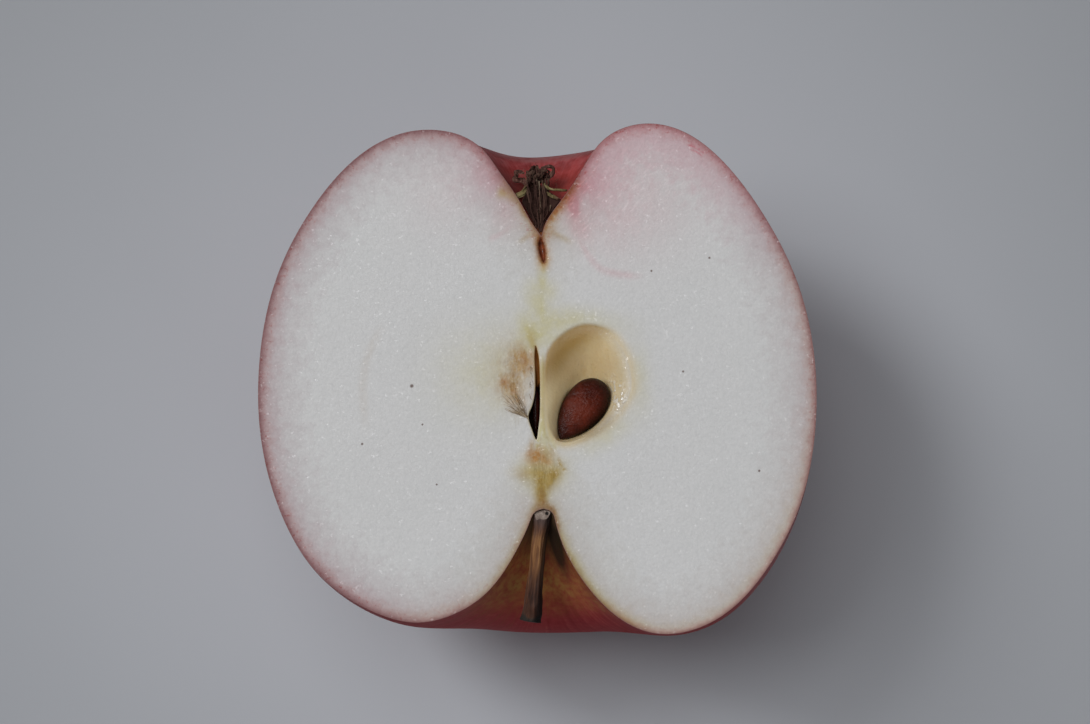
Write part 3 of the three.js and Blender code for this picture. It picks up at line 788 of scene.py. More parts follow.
WORN = {"scuff": (0.10, 0.09, 0.8, 5), "pith": (0.08, 0.08, 1.0, 6)}  # sunk, rough, size, seed
COLUMN_RIDGE = {"height": 0.05, "through": [(0.2, 4.0), (0.22, 0.0), (0.3, -6.0), (0.6, -9.0)], "width": 0.35}
SKIN_WAVES = {"share": 0.0022, "size": 7.0, "seed": 11}
SKIN_MAP_RADIUS = 38
WALL_WAVES = {"height": 0.05, "size": 2.2, "seed": 20}


def grow_seed_clear(points, seed, gap):
    """Moves points that lie in a seed, or nearer than gap to it, out to that distance."""
    tip, end = np.array(seed["tip"]), np.array(seed["end"])
    along = unit(end - tip)
    side = unit(np.cross(seed["flat"], along))
    up = np.cross(along, side)
    away = points - tip
    t = (away @ along + gap) / (np.linalg.norm(end - tip) + 2 * gap)
    within = (t > 0.01) & (t < 0.99)
    girth = seed_girth(np.clip(t, 0.01, 0.99))
    a, b = away @ side, away @ up
    half_width, half_thick = girth * (seed["width"] / 2 + gap), girth * (seed["thickness"] / 2 + gap)
    share = np.sqrt((a / half_width) ** 2 + (b / half_thick) ** 2)
    push = np.where(within & (share < 1), 1 / np.maximum(share, 0.2) - 1, 0)[:, None]
    return points + push * (a[:, None] * side + b[:, None] * up)


def seed_girth(t):
    """Girth of a seed at a share of its length, as a share of its widest."""
    def form(x):
        return x ** SEED_TAPER["tip"] * (1 - x) ** SEED_TAPER["end"]

    return form(t) / form(SEED_TAPER["tip"] / sum(SEED_TAPER.values()))


def sink_beside_seed(points, seed):
    """Lowers what lies to the right of a seed to below its widest line, so that all of it shows."""
    tip, end = np.array(seed["tip"]), np.array(seed["end"])
    t = (1 - np.cos(np.linspace(0, np.pi, 60))) / 2
    across = unit(np.cross(seed["flat"], end - tip))
    middle = tip + np.outer(t, end - tip)
    half = (seed_girth(t) * seed["width"] / 2)[:, None] * across
    loop = np.vstack([middle + half, (middle - half)[-2:0:-1]])[:, :2]
    beyond, _ = distance_to(points[:, :2], loop, closed=True)
    beyond[inside(points[:, :2], loop)] = 0
    share = np.clip((points - tip) @ (end - tip) / np.sum((end - tip) ** 2), 0, 1)
    level = lerp(tip[2], end[2], share) - SEED_BED["under"]
    kept = np.maximum(smoothstep(beyond, *SEED_BED["reach"]), smoothstep((points - tip) @ across, *SEED_BED["left"]))
    lowered = points.copy()
    lowered[:, 2] = np.minimum(points[:, 2], lerp(level, points[:, 2], kept))
    return lowered


def pocket_loops(pocket):
    """The rim of a pocket on the cut, the loops of its wall, and the middle of its floor."""
    rim = smooth_path(list(pocket["rim"].values()), pocket["segments"], closed=True)
    middle = (rim.min(0) + rim.max(0)) / 2
    angle = np.linspace(0, np.pi / 2, pocket["levels"] + 1)[1:-1, None]

    def gentle(side):
        """1 where the wall slopes in gently from that side, and 0 where it is steep."""
        if side not in pocket:
            return np.zeros((1, len(rim)))
        heading, full = math.radians(pocket[side][0]), pocket[side][1]
        return smoothstep(unit(rim - middle) @ (math.cos(heading), math.sin(heading)), GENTLE_FROM, full)[None]

    soft, opened = gentle("soft"), gentle("open")
    steep_scale = np.cos(angle) ** (1 / pocket["steepness"])
    scale = lerp(steep_scale, 1 - angle / (np.pi / 2), np.minimum(soft + opened, 1))
    sunk = lerp(np.sin(angle), np.sin(angle) ** 2, np.minimum(soft + 0.6 * opened, 1))
    flat = middle + (rim - middle)[None] * scale[..., None]
    flat[..., 0] -= pocket["lean"] * (1 - scale)
    depth = pocket["depth"] * sunk
    if "shallow" in pocket:
        low, high, share = pocket["shallow"]
        depth = depth * lerp(1, share, smoothstep(flat[..., 1], low, high))
    floor = np.array([middle[0] - pocket["lean"], middle[1], -depth[-1].max()])
    return rim, np.concatenate([flat, -depth[..., None]], axis=2), floor


def paint_stem_shadow(points):
    """The painted shadow of the stem on the cavity beside it, kept to the shallow part of the cavity."""
    return shade(points, "soot") * smoothstep(points[:, 2], *STEM_SHADOW_HEIGHTS)


def soft_side(points):
    """Towards the right of the chamber its lining is pale and runs out into the flesh."""
    heading = SOFT_SIDE["heading"]
    return smoothstep((points - SOFT_SIDE["from"]) @ (math.cos(heading), math.sin(heading)), *SOFT_SIDE["reach"])


def rim_lining(points):
    """How much of the lining's tan already shows at the rim of its chamber."""
    return 1 - smoothstep(points[:, 0], *RIM_LINING["fades"]) * (
        RIM_LINING["loss"] + RIM_LINING["soft_loss"] * soft_side(points))


def painted_brim_shade(points):
    """The crescent under the upper left brim of the chamber, whose lining is painted darker as shade."""
    away = points - BRIM_SHADE["middle"]
    ring = np.hypot(*(away / BRIM_SHADE["radii"]).T)
    return smoothstep(ring, *BRIM_SHADE["ring"]) * smoothstep(away @ BRIM_SHADE["towards"], *BRIM_SHADE["reach"])


def cut_relief(points, edge, lips):
    """How far the cut lies below its plane: knife waves, sunk pocket lips and the worn core."""
    def worn(name, stretch=(1, 1)):
        sunk, rough, size, seed = WORN[name]
        return shade(points, name) * (sunk + rough * ripple(points * stretch, size, seed))

    low = KNIFE_WAVES["height"] * (1 + ripple(points, KNIFE_WAVES["size"], KNIFE_WAVES["seed"]))
    for away, width, drop in lips:
        low = low + drop * np.exp(-(away / width) ** 2)
    low = low + worn("scuff") + worn("pith", (2.2, 0.8))
    low = low - COLUMN_RIDGE["height"] * line(points, COLUMN_RIDGE["through"], COLUMN_RIDGE["width"])
    return np.maximum(low, 0.0) * smoothstep(edge, 0, 0.5)


def signed_area(loop):
    """Twice the area of a closed loop, above zero where it runs anticlockwise."""
    return np.sum(loop[:, 0] * np.roll(loop[:, 1], -1) - loop[:, 1] * np.roll(loop[:, 0], -1))


def inset_ring(loop, distance, outward=False):
    """A ring of points at a distance inside a closed loop, or outside it."""
    along = np.roll(loop, -1, axis=0) - np.roll(loop, 1, axis=0)
    normal = unit(np.stack([along[:, 1], -along[:, 0]], axis=1))
    sign = (1 if signed_area(loop) > 0 else -1) * (1 if outward else -1)
    ring = loop + normal * sign * distance
    away, _ = distance_to(ring, loop, closed=True)
    return ring[away > 0.93 * distance]


def hex_grid(low, high, spacing):
    """Points of a slightly shaken triangular grid over a box."""
    rows = np.arange(low[1], high[1], spacing * math.sqrt(3) / 2)
    columns = np.arange(low[0], high[0], spacing)
    grid = np.array([(x + spacing / 2 * (j % 2), y) for j, y in enumerate(rows) for x in columns])
    return grid + rng.uniform(-0.12, 0.12, grid.shape) * spacing


CORE_AREA = ((-9.0, -19.5), (17.5, 27.5))
CORE_SPACING, OUTER_SPACING = 0.3, 0.62
STREAK_AREA, STREAK_SPACING = ((19.2, 30.0), (23.6, 33.2)), 0.13
EDGE_RINGS = (0.1, 0.22, 0.4, 0.65, 1.0, 1.45, 2.0)
LIP_RINGS = (0.13, 0.3, 0.5)


def cut_points(border, rims):
    """Points inside the cut: rings along every edge, close in the core and wider outside it."""
    kept = [ring[inside(ring, border)] for ring in (inset_ring(border, distance) for distance in EDGE_RINGS)]
    kept += [inset_ring(rim, distance, outward=True) for rim in rims for distance in LIP_RINGS]
    core = hex_grid(*CORE_AREA, CORE_SPACING)
    streaks = hex_grid(*STREAK_AREA, STREAK_SPACING)
    outer = hex_grid(border.min(0), border.max(0), OUTER_SPACING)
    for low, high in (CORE_AREA, STREAK_AREA):
        outer = outer[~np.all((outer > low) & (outer < high), axis=1)]
    for grid, clear in ((core, 0.75 * CORE_SPACING), (streaks, STREAK_SPACING), (outer, 0.6 * OUTER_SPACING)):
        near_edge, _ = distance_to(grid, border, closed=True)
        good = inside(grid, border) & (near_edge > EDGE_RINGS[-1] * 0.5 + clear)
        for rim in rims:
            away, _ = distance_to(grid, rim, closed=True)
            good &= ~inside(grid, rim) & (away > LIP_RINGS[-1] + 0.5 * clear)
        kept.append(grid[good])
    points = np.vstack(kept)
    for rim in rims:
        away, _ = distance_to(points, rim, closed=True)
        points = points[~inside(points, rim) & (away > 0.1)]
    away, _ = distance_to(points, border, closed=True)
    return points[inside(points, border) & (away > 0.07)]


def edge_kinds(border_share):
    """How rosy, flushed and tawny the flesh is just inside the skin, by the place along the outline."""
    right = border_share < 0.5
    down = np.where(right, border_share * 2, (1 - border_share) * 2)
    names = list(OUTLINE)

    def between(first, last):
        return smoothstep(down, *(knots[names.index(name)] / knots[-1] for name in (first, last)))

    rosy = np.where(right, (1 - 0.35 * between("upper_cheek", "cheek")) * (1 - between("equator", "haunch")),
                    1 - 0.6 * between("lower_shoulder", "cavity_brink"))
    tawny = np.maximum(between("cavity_brink", "cavity_slope"), 1 - between("funnel_wall", "basin_wall"))
    flushed_right = 1 - between("outer_crest", "cheek")
    flushed_left = 0.35 * (1 - between("basin_brink", "calyx_crest"))
    flushed = between("funnel_mouth", "basin_wall") * np.where(right, flushed_right, flushed_left)
    return {"rosy": rosy, "flushed": flushed, "tawny": tawny * np.where(right, 1, 0.8)}


def add_skin(part):
    """Adds the skin, and returns the numbers of its points round the edge of the cut."""
    s = np.linspace(0, knots[-1], SKIN_ROWS + 1)[1:-1]
    turn = np.linspace(0, np.pi, SKIN_COLUMNS + 1)
    grid_s, grid_turn = np.meshgrid(s, turn, indexing="ij")
    skin = skin_point(grid_s, grid_turn)
    uneven = ripple(skin.reshape(-1, 3), SKIN_WAVES["size"], SKIN_WAVES["seed"]).reshape(grid_s.shape)
    skin *= (1 + SKIN_WAVES["share"] * uneven * np.sin(grid_turn))[..., None]
    skin[:, [0, -1], 2] = 0
    skin[..., 2] = np.maximum(skin[..., 2], -HALF_DEPTH)
    meridian = np.concatenate([[0], np.cumsum(np.linalg.norm(np.diff(outline(s)[:, :2], axis=0), axis=1))])
    along = np.broadcast_to(meridian[:, None], grid_s.shape)
    skin_map = np.stack([grid_turn * SKIN_MAP_RADIUS, along, np.zeros_like(along)], axis=-1).reshape(-1, 3)
    poles = skin_point(np.array([0, knots[-1]]), np.zeros(2))

    grid = np.arange(grid_s.size).reshape(grid_s.shape)
    calyx_pole, stem_pole = grid.size, grid.size + 1
    faces = [(grid[r, c], grid[r + 1, c], grid[r + 1, c + 1], grid[r, c + 1])
             for r in range(len(grid) - 1) for c in range(SKIN_COLUMNS)]
    faces += [(calyx_pole, grid[0, c], grid[0, c + 1]) for c in range(SKIN_COLUMNS)]
    faces += [(stem_pole, grid[-1, c + 1], grid[-1, c]) for c in range(SKIN_COLUMNS)]
    part.add(np.vstack([skin.reshape(-1, 3), poles]), faces, 1,
             skin_map=np.vstack([skin_map, [[0, 0, 0], [0, meridian[-1], 0]]]),
             # where the shadow of the stem is painted on the cavity
             soot=np.append(paint_stem_shadow(skin.reshape(-1, 3)), [0, 0]),
             down=np.append((along / meridian[-1]).ravel(), [0, 1]))
    return [calyx_pole, *grid[:, 0].tolist(), stem_pole, *grid[::-1, -1].tolist()]


def cut_values(flat, border, rims):
    """How far each point of the cut lies below its plane, and its named values."""
    # crown marks the crescent under the upper left brim: narrower lips there, and painted shade in the lining.
    broad, crown = smoothstep(flat[:, 0], *BROAD_LIP), painted_brim_shade(flat)
    edge, share = distance_to(flat, border, closed=True)
    away = [distance_to(flat, rim, closed=True)[0] for rim in rims]
    chamber, slit, canal = LIPS.values()

    def round_chamber(by_column, elsewhere, under_crown):
        return lerp(lerp(by_column, elsewhere, broad), under_crown, crown)

    widths = (round_chamber(*chamber["width"]), slit["width"], canal["width"])
    drops = (lerp(*chamber["drop"], broad) * (1 - 0.95 * soft_side(flat)), slit["drop"], canal["drop"])
    spreads = (round_chamber(*chamber["spread"]), slit["spread"])
    lining = np.max([np.exp(-(far / spread) ** 2) for far, spread in zip(away, spreads)], axis=0)
    return cut_relief(flat, edge, zip(away, widths, drops)), {
        **{name: stain(flat, *tables) for name, tables in STAINS.items()},
        **edge_kinds(share),
        "edge": edge, "lining": lining * rim_lining(flat), "canal": 0.9 * np.exp(-(away[2] / canal["spread"]) ** 2),
        "bald": np.clip(shade(flat, "scuff") + shade(flat, "bald_pith"), 0, 1),
        # foot is the painted shadow under the pip, and wet the juice drops with painted glints on them.
        "wet": shade(flat, "wet"), "foot": shade(flat, "foot"), "crown": 0.85 * crown,
    }


def cut_triangles(border, rims, flat):
    """Triangles that fill the cut between its border and the rims of the pockets."""
    points = np.vstack([border, flat])
    edges, start = [], 0
    for loop in (border, *rims):
        ids = list(range(start, start + len(loop)))
        edges += zip(ids, ids[1:] + ids[:1])
        start += len(loop)
    found = delaunay_2d_cdt([Vector(point) for point in points], edges, [], 0, 1e-7, True)
    sources = [origins[0] if origins else -1 for origins in found[3]]
    triangles = np.array([[sources[i] for i in face] for face in found[2] if len(face) == 3])
    triangles = triangles[(triangles >= 0).all(1)]
    centres = points[triangles].mean(1)
    wanted = inside(centres, border)
    for rim in rims:
        wanted &= ~inside(centres, rim)
    triangles = triangles[wanted]
    corners = points[triangles]
    area = np.cross(corners[:, 1] - corners[:, 0], corners[:, 2] - corners[:, 0])
    return np.where(area[:, None] > 0, triangles, triangles[:, ::-1])


def wall_points(number, pocket, seed, wall, floor, brim):
    """The points of a pocket's wall: sunk at its brim, slightly uneven and clear of its seed."""
    levels, count = wall.shape[:2]
    points = wall.reshape(-1, 3).copy()
    points[:, 2] -= np.tile(brim, levels) * (1 - np.repeat(np.linspace(0, 1, levels), count)) ** 2
    waves = ripple(points, WALL_WAVES["size"], WALL_WAVES["seed"] + number)[:, None]
    points += WALL_WAVES["height"] * waves * unit(points - floor - (0, 0, 8))
    if pocket is CHAMBER:
        points = sink_beside_seed(points, seed)
    return grow_seed_clear(points, seed, pocket["seed_room"]) if seed else points


def wall_values(pocket, flat, deep):
    """The named values at the points of a pocket's wall."""
    if pocket is CANAL:
        return {"canal": 1.0}
    if pocket is SLIT:
        return {"lining": 1.0, "slit": 1.0}
    # foot is the painted shadow under the pip, and wet the juice drops with painted glints on them.
    return {"lining": lerp(rim_lining(flat), 1, smoothstep(deep, 0, 0.24)),
            "pale": soft_side(flat) * (1 - 0.5 * deep), "wet": shade(flat, "wet"), "foot": shade(flat, "foot")}


def build_body(flesh, skin):
    """The half itself: skin, cut face and the walls of the pockets, joined at their rims."""
    part = Part()
    border_ids = add_skin(part)
    border = part.points[border_ids][:, :2]
    pockets = [pocket_loops(pocket) for pocket, _ in POCKETS]
    rims = [rim for rim, _, _ in pockets]
    flat = np.vstack([*rims, cut_points(border, rims)])
    low, values = cut_values(flat, border, rims)
    cut_first = part.add(np.column_stack([flat, -low]), [], 0, **values)
    cut_ids = np.concatenate([border_ids, np.arange(cut_first, len(part.points))])
    part.faces_between(cut_ids[cut_triangles(border, rims, flat)], 0)

    rim_first = 0
    for number, ((pocket, seed), (rim, wall, floor)) in enumerate(zip(POCKETS, pockets)):
        levels, count = wall.shape[:2]
        brim = low[rim_first:rim_first + count]
        points = np.vstack([wall_points(number, pocket, seed, wall, floor, brim), floor])
        deep = np.append(np.repeat(np.linspace(0, 1, levels + 1)[1:], count), 1)
        first = part.add(points, [], 0, edge=EDGE_DEPTH, deep=deep, crown=painted_brim_shade(points[:, :2]),
                         **wall_values(pocket, points[:, :2], deep))
        ids = [*range(cut_first + rim_first, cut_first + rim_first + count), *range(first, len(part.points))]
        deepest, last = levels * count, (levels + 1) * count
        faces = ring_faces(levels + 1, count) + [(deepest + i, deepest + (i + 1) % count, last) for i in range(count)]
        if signed_area(rim) <= 0:
            faces = [face[::-1] for face in faces]
        part.faces_between([[ids[i] for i in face] for face in faces], 0)
        rim_first += count

    sharp = list(zip(border_ids, border_ids[1:] + border_ids[:1]))
    return make_piece("apple_body", part, [flesh, skin], "flesh", "apple_half", sharp=sharp)


# ------------------------------------------------------------------ materials of the apple


def plain_flesh(m, cell, grain):
    """Wet white cells with fine pale strokes, partly cell texture and partly painted sheen, more of them where the
    flesh is blushed.
    """
    white = m.ramp(cell, (0.0, seen(192, 192, 192)), (0.75, seen(184, 184, 184)))
    white = m.mix(m.step(grain, 0.35, 0.7, 0.0, 0.7), white, seen(190, 190, 190))
    white = m.mix(m.step(m.noise(7.0, 3, 0.5), 0.4, 0.7, 0.0, 0.25), white, seen(184, 185, 185))
    slanted = m.node("Mapping", {"Vector": m.here, "Rotation": (0, 0, 0.75)})
    strokes = m.noise(0.3, 2, 0.55, (1, 3.2, 1), source=slanted, warp=0.3)
    # Pale strokes: partly the grain of the cells, partly a painted sheen on the wet flesh.
    pale_strokes_and_sheen = m.times(m.plus(0.16, m.times(m.value("blush"), 1.3), clamp=True), m.step(strokes, 0.54, 0.7))
    return m.mix(pale_strokes_and_sheen, white, seen(203, 203, 203))


def tinted_edge(m, colour, fine):
    """The tinted band just inside the skin, uneven in its reach and flecked where it is rosy."""
    edge = m.value("edge")
    uneven = m.plus(m.step(m.noise(1.5, 3, 0.6), 0.25, 0.75, 0.72, 1.28), m.times(fine, 0.12))
    reach = m.math("POWER", m.times(m.times(edge, uneven), 1 / EDGE_DEPTH), 0.5)
    rosy, flushed, creamy, tawny = (
        m.ramp(reach, *[((where / EDGE_DEPTH) ** 0.5, tint(*tone)) for where, tone in stops])
        for stops in EDGE_TONES.values())
    band = m.mix(m.value("rosy"), creamy, m.mix(m.value("flushed"), rosy, flushed))
    colour = m.tinted(colour, 1.0, m.mix(m.value("tawny"), band, tawny))
    flecks = m.times(m.step(m.noise(0.5, 3, 0.7), 0.54, 0.7), m.step(edge, 2.2, 0.3))
    return m.tinted(colour, m.times(flecks, m.value("rosy")), tint(172, 128, 124))


def core_stains(m, colour, grain, fibres):
    """Browned, ochre and rusty places round the core with painted shade along the column, and torn threads where it
    is worn.
    """
    stipple = m.noise(0.55, 3, 0.65, (1, 1.7, 1), warp=0.5)
    brown = m.ramp(m.noise(0.8, 3, 0.6), (0.3, tint(170, 146, 112)), (0.7, tint(150, 119, 84)))
    colour = m.stained(colour, "browning", stipple, (0.3, 0.66, 0.5, 1.0), brown)
    fibrous = m.plus(m.times(fibres, 0.5), m.times(grain, 0.5))
    ochre = m.ramp(m.noise(1.1, 3, 0.6), (0.35, tint(168, 149, 96)), (0.7, tint(150, 126, 72)))
    colour = m.stained(colour, "ochre", fibrous, (0.3, 0.66, 0.62, 1.0), ochre)
    colour = m.stained(colour, "rust", m.noise(0.7, 3, 0.65), (0.34, 0.62, 0.5, 1.05), tint(172, 132, 80))
    threads = m.times(m.value("bald"), m.step(m.noise(0.24, 3, 0.65, (1, 7, 1), warp=0.8), 0.5, 0.66))
    return m.tinted(colour, m.times(threads, 0.6), tint(156, 144, 122))


def chamber_lining(m):
    """The silky tan lining of the chambers: painted shade under the brim and under the pip, pale at its soft side,
    brown in the slit with painted shade low in it.
    """
    silk = m.noise(0.6, 3, 0.55, (1, 6, 1), warp=0.3)
    tan = m.ramp(m.plus(m.times(m.value("deep"), 0.6), m.times(m.noise(3.2, 2, 0.5), 0.4)),
                 (0.15, seen(190, 174, 138)), (0.5, seen(194, 173, 132)), (0.85, seen(196, 174, 132)))
    tan = m.mix(m.step(silk, 0.4, 0.7, 0.0, 0.12), tan, seen(170, 144, 92))
    # Painted shade in the crescent under the upper left brim.
    tan = m.mix(m.times(m.value("crown"), 0.95), tan, seen(152, 122, 66))
    tan = m.mix(m.value("pale"), tan, seen(177, 165, 140))
    # Painted shadow of the pip in the hollow under it.
    tan = m.tinted(tan, m.value("foot"), (0.60, 0.57, 0.52, 1))
    slit = m.ramp(m.noise(1.4, 2), (0.3, seen(146, 98, 42)), (0.7, seen(116, 66, 20)))
    seed_top = [ORIGIN[1] + height * MM for height in (-1.5, -0.4)]
    # Painted shade on the walls of the slit low down, beside the pip that lies in it.
    slit = m.mix(m.step(m.axis("Y"), *seed_top), seen(78, 54, 44), slit)
    return m.mix(m.value("slit"), tan, slit)


def specked(m, colour):
    """Small dark specks scattered on the cut."""
    for (x, y), radius in SPECKS.values():
        middle = tuple(place((x, y, 0)))
        away = m.node("VectorMath", {0: m.here, 1: middle}, operation="DISTANCE", output="Value")
        colour = m.mix(m.step(away, radius * 1.5 * MM, radius * 0.5 * MM, 0.0, 0.85), colour, seen(78, 52, 42))
    return colour


def flesh_material():
    """Cut flesh: the blushed band under the skin, the stained core and its lining with painted shade in it, all of it
    moist, with painted glints on drops of juice.
    """
    m = Shader("cut_flesh")
    cell, grain, fine = m.cells(0.42), m.noise(0.8, 3, 0.6), m.noise(0.25, 2, 0.6)
    fibres = m.noise(0.5, 3, 0.6, (1, 5, 1), warp=0.4)

    colour = plain_flesh(m, cell, grain)
    colour = m.stained(colour, "greening", m.noise(2.2, 3, 0.6), (0.2, 0.75, 0.6, 1.1), tint(178, 172, 134))
    blotches = m.noise(1.4, 4, 0.65, (1, 1.8, 1))
    colour = m.stained(colour, "blush", blotches, (0.25, 0.72, 0.78, 1.16), tint(184, 142, 148))
    colour = core_stains(m, tinted_edge(m, colour, fine), grain, fibres)
    colour = m.mix(m.value("lining"), colour, chamber_lining(m))
    canal = m.ramp(m.noise(0.7, 2), (0.35, seen(124, 62, 30)), (0.7, seen(70, 30, 12)))
    colour = specked(m, m.mix(m.value("canal"), colour, canal))

    sparkle = m.step(m.noise(0.42, 1, 0.5), 0.66, 0.74)
    wet = m.times(m.value("lining"), m.step(m.value("slit"), 1, 0))
    beads_with_painted_glints = m.times(m.value("wet"), m.step(m.noise(0.55, 1, 0.4, (1, 1.5, 1)), 0.5, 0.6))
    # Painted glints: the tops of the juice drops are painted lighter; their bump and gloss below are real.
    colour = m.mix(m.times(beads_with_painted_glints, 0.55), colour, seen(214, 212, 206))
    gloss = m.plus(m.plus(0.52, m.times(sparkle, -0.27)), m.times(m.plus(wet, m.value("pale")), -0.07))
    gloss = m.plus(gloss, m.times(beads_with_painted_glints, -0.22), clamp=True)
    height = m.plus(m.times(cell, -0.4), m.plus(m.times(grain, 0.6), m.times(fine, 0.3)))
    torn = m.plus(m.times(m.value("bald"), fibres), m.times(beads_with_painted_glints, 0.7))
    m.set(base_color=colour, roughness=gloss, normal=m.bump(torn, 0.16, m.bump(height, 0.05)),
          specular_ior_level=m.plus(m.plus(0.42, m.times(sparkle, 0.6)), m.times(beads_with_painted_glints, 0.9)),
          subsurface_weight=m.plus(0.25, m.times(wet, 0.45)), subsurface_radius=(1.0, 1.0, 1.0),
          subsurface_scale=m.plus(0.001, m.times(wet, 0.0012)))
    return m.material


def basin_skin(m, colour, streaks, basin):
    """The calyx basin: rosy and blotched, with a pale line and a dulled band along its far rim that are painted shade
    and sheen, and a dark rim at the calyx.
    """
    down = m.value("down")
    rosy = m.ramp(m.plus(m.times(streaks, 0.4), m.times(m.noise(1.9, 4, 0.6), 0.6)),
                  (0.36, (0.41, 0.040, 0.040, 1)), (0.5, (0.56, 0.095, 0.098, 1)), (0.66, (0.61, 0.165, 0.17, 1)))
    colour = m.mix(m.times(basin, 0.85), colour, rosy)
    blots = m.times(m.step(m.noise(2.4, 4, 0.6), 0.54, 0.34), m.step(down, 0.18, 0.12))
    colour = m.tinted(colour, m.times(blots, 0.8), (0.58, 0.46, 0.47, 1))
    # Painted shade and sheen: a greyed line along the far rim of the basin.
    painted_rim_shade_and_sheen = m.times(m.band(down, 0.106, 0.126, 0.148, 0.170), m.step(m.noise(1.2, 3), 0.3, 0.65, 0.2, 0.5))
    colour = m.mix(painted_rim_shade_and_sheen, colour, (0.29, 0.18, 0.175, 1))
    # Painted shade: the band below the far rim is dulled.
    colour = m.tinted(colour, m.band(down, 0.086, 0.112, 0.15, 0.19), (0.77, 0.80, 0.80, 1))
    colour = m.mix(m.times(m.step(down, 0.12, 0.06), 0.7), colour, (0.24, 0.034, 0.022, 1))
    return m.mix(m.step(down, 0.022, 0.01), colour, (0.19, 0.06, 0.022, 1))


def cavity_skin(m, colour, skin_map):
    """The stem cavity: rings of russet, with painted shade darkening its floor and a painted shadow of the stem
    beside it.
    """
    down = m.value("down")
    rings = m.noise(1.0, 4, 0.6, (5, 1, 1), source=skin_map, unit_length=1.0)
    russet_share = m.times(m.step(down, 0.855, 0.915), m.step(rings, 0.3, 0.6, 0.5, 0.95))
    russet = m.ramp(m.plus(m.times(rings, 0.35), m.times(m.noise(2.6, 3), 0.65)), (0.38, (0.30, 0.095, 0.034, 1)),
                    (0.52, (0.40, 0.150, 0.048, 1)), (0.66, (0.43, 0.235, 0.066, 1)))
    colour = m.mix(russet_share, colour, russet)
    # Painted shade: the deep floor of the cavity round the stem's root is darkened.
    colour = m.mix(m.times(m.step(down, 0.935, 0.985), 0.88), colour, (0.10, 0.070, 0.040, 1))
    # Painted shadow of the stem on the cavity beside it.
    return m.mix(m.times(m.value("soot"), 0.92), colour, (0.014, 0.010, 0.007, 1))


def skin_material():
    """Waxy skin: red blush in streaks over a yellow-green ground, lenticels, and matt hollows."""
    m = Shader("apple_skin")
    skin_map, down = m.vector("skin_map"), m.value("down")
    ground = m.ramp(m.noise(9.0, 3), (0.35, (0.44, 0.24, 0.05, 1)), (0.7, (0.38, 0.30, 0.08, 1)))
    streaks = m.noise(2.0, 4, 0.62, (1, 14, 1), source=skin_map, unit_length=1.0)
    broad = m.noise(14.0, 3, 0.5)
    red = m.ramp(m.plus(m.times(streaks, 0.7), m.times(m.noise(0.8, 3), 0.3)),
                 (0.3, (0.24, 0.013, 0.018, 1)), (0.55, (0.35, 0.034, 0.038, 1)), (0.75, (0.47, 0.090, 0.075, 1)))
    blush = m.step(m.plus(m.times(streaks, 0.8), m.times(broad, 0.6)), 0.36, 0.64, 0.62, 1.0)
    blush = m.math("MAXIMUM", blush, m.step(down, 0.6, 0.74, 0.0, 0.93))
    basin = m.step(down, 0.22, 0.14)
    colour = cavity_skin(m, m.mix(blush, ground, red), skin_map)
    colour = basin_skin(m, colour, streaks, basin)

    hollow = m.math("MAXIMUM", basin, m.step(down, 0.66, 0.8))
    lenticel = m.step(m.plus(m.cells(3.4), m.times(m.noise(0.3, 2), 0.03)), 0.085, 0.05)
    lenticel = m.times(lenticel, m.step(hollow, 0.5, 0.0))
    colour = m.mix(m.times(lenticel, 0.75), colour, (0.5, 0.34, 0.2, 1))
    height = m.plus(m.times(m.noise(0.55, 3, 0.55), 0.5), m.times(lenticel, -0.6))
    m.set(base_color=colour, roughness=m.plus(m.step(broad, 0.3, 0.7, 0.36, 0.46), m.times(hollow, 0.2)),
          normal=m.bump(height, 0.03), specular_ior_level=m.step(hollow, 0, 1, 0.3, 0.1),
          coat_weight=m.step(hollow, 0, 1, 0.1, 0.0), coat_roughness=0.25,
          subsurface_weight=0.08, subsurface_radius=(1.0, 0.3, 0.2), subsurface_scale=0.0008)
    return m.material


def seed_material():
    """A glossy pip: chestnut on its crown and painted dark at its rim and tip side as shade, finely lined."""
    m = Shader("seed_coat")
    crown = m.value("crown")
    lines_across = m.noise(0.3, 3, 0.6, (1, 1, 6), source=m.vector("seed_map"), unit_length=1.0)
    blot = m.noise(1.8, 3, 0.6)
    # Painted shade: darker away from the crown, towards the rim and ends.
    share = m.plus(m.times(crown, 0.62), m.plus(m.times(blot, 0.5), m.times(lines_across, 0.25)))
    colour = m.ramp(share, (0.38, (0.010, 0.0025, 0.0025, 1)), (0.68, (0.060, 0.0075, 0.003, 1)),
                    (1.0, (0.165, 0.021, 0.006, 1)))
    grit = m.plus(m.noise(0.3, 3, 0.65), m.times(m.noise(1.0, 2, 0.5), 2.0))
    m.set(base_color=colour, roughness=m.step(blot, 0.3, 0.7, 0.22, 0.36),
          normal=m.bump(grit, 0.12, m.bump(lines_across, 0.1)), specular_ior_level=0.2)
    return m.material


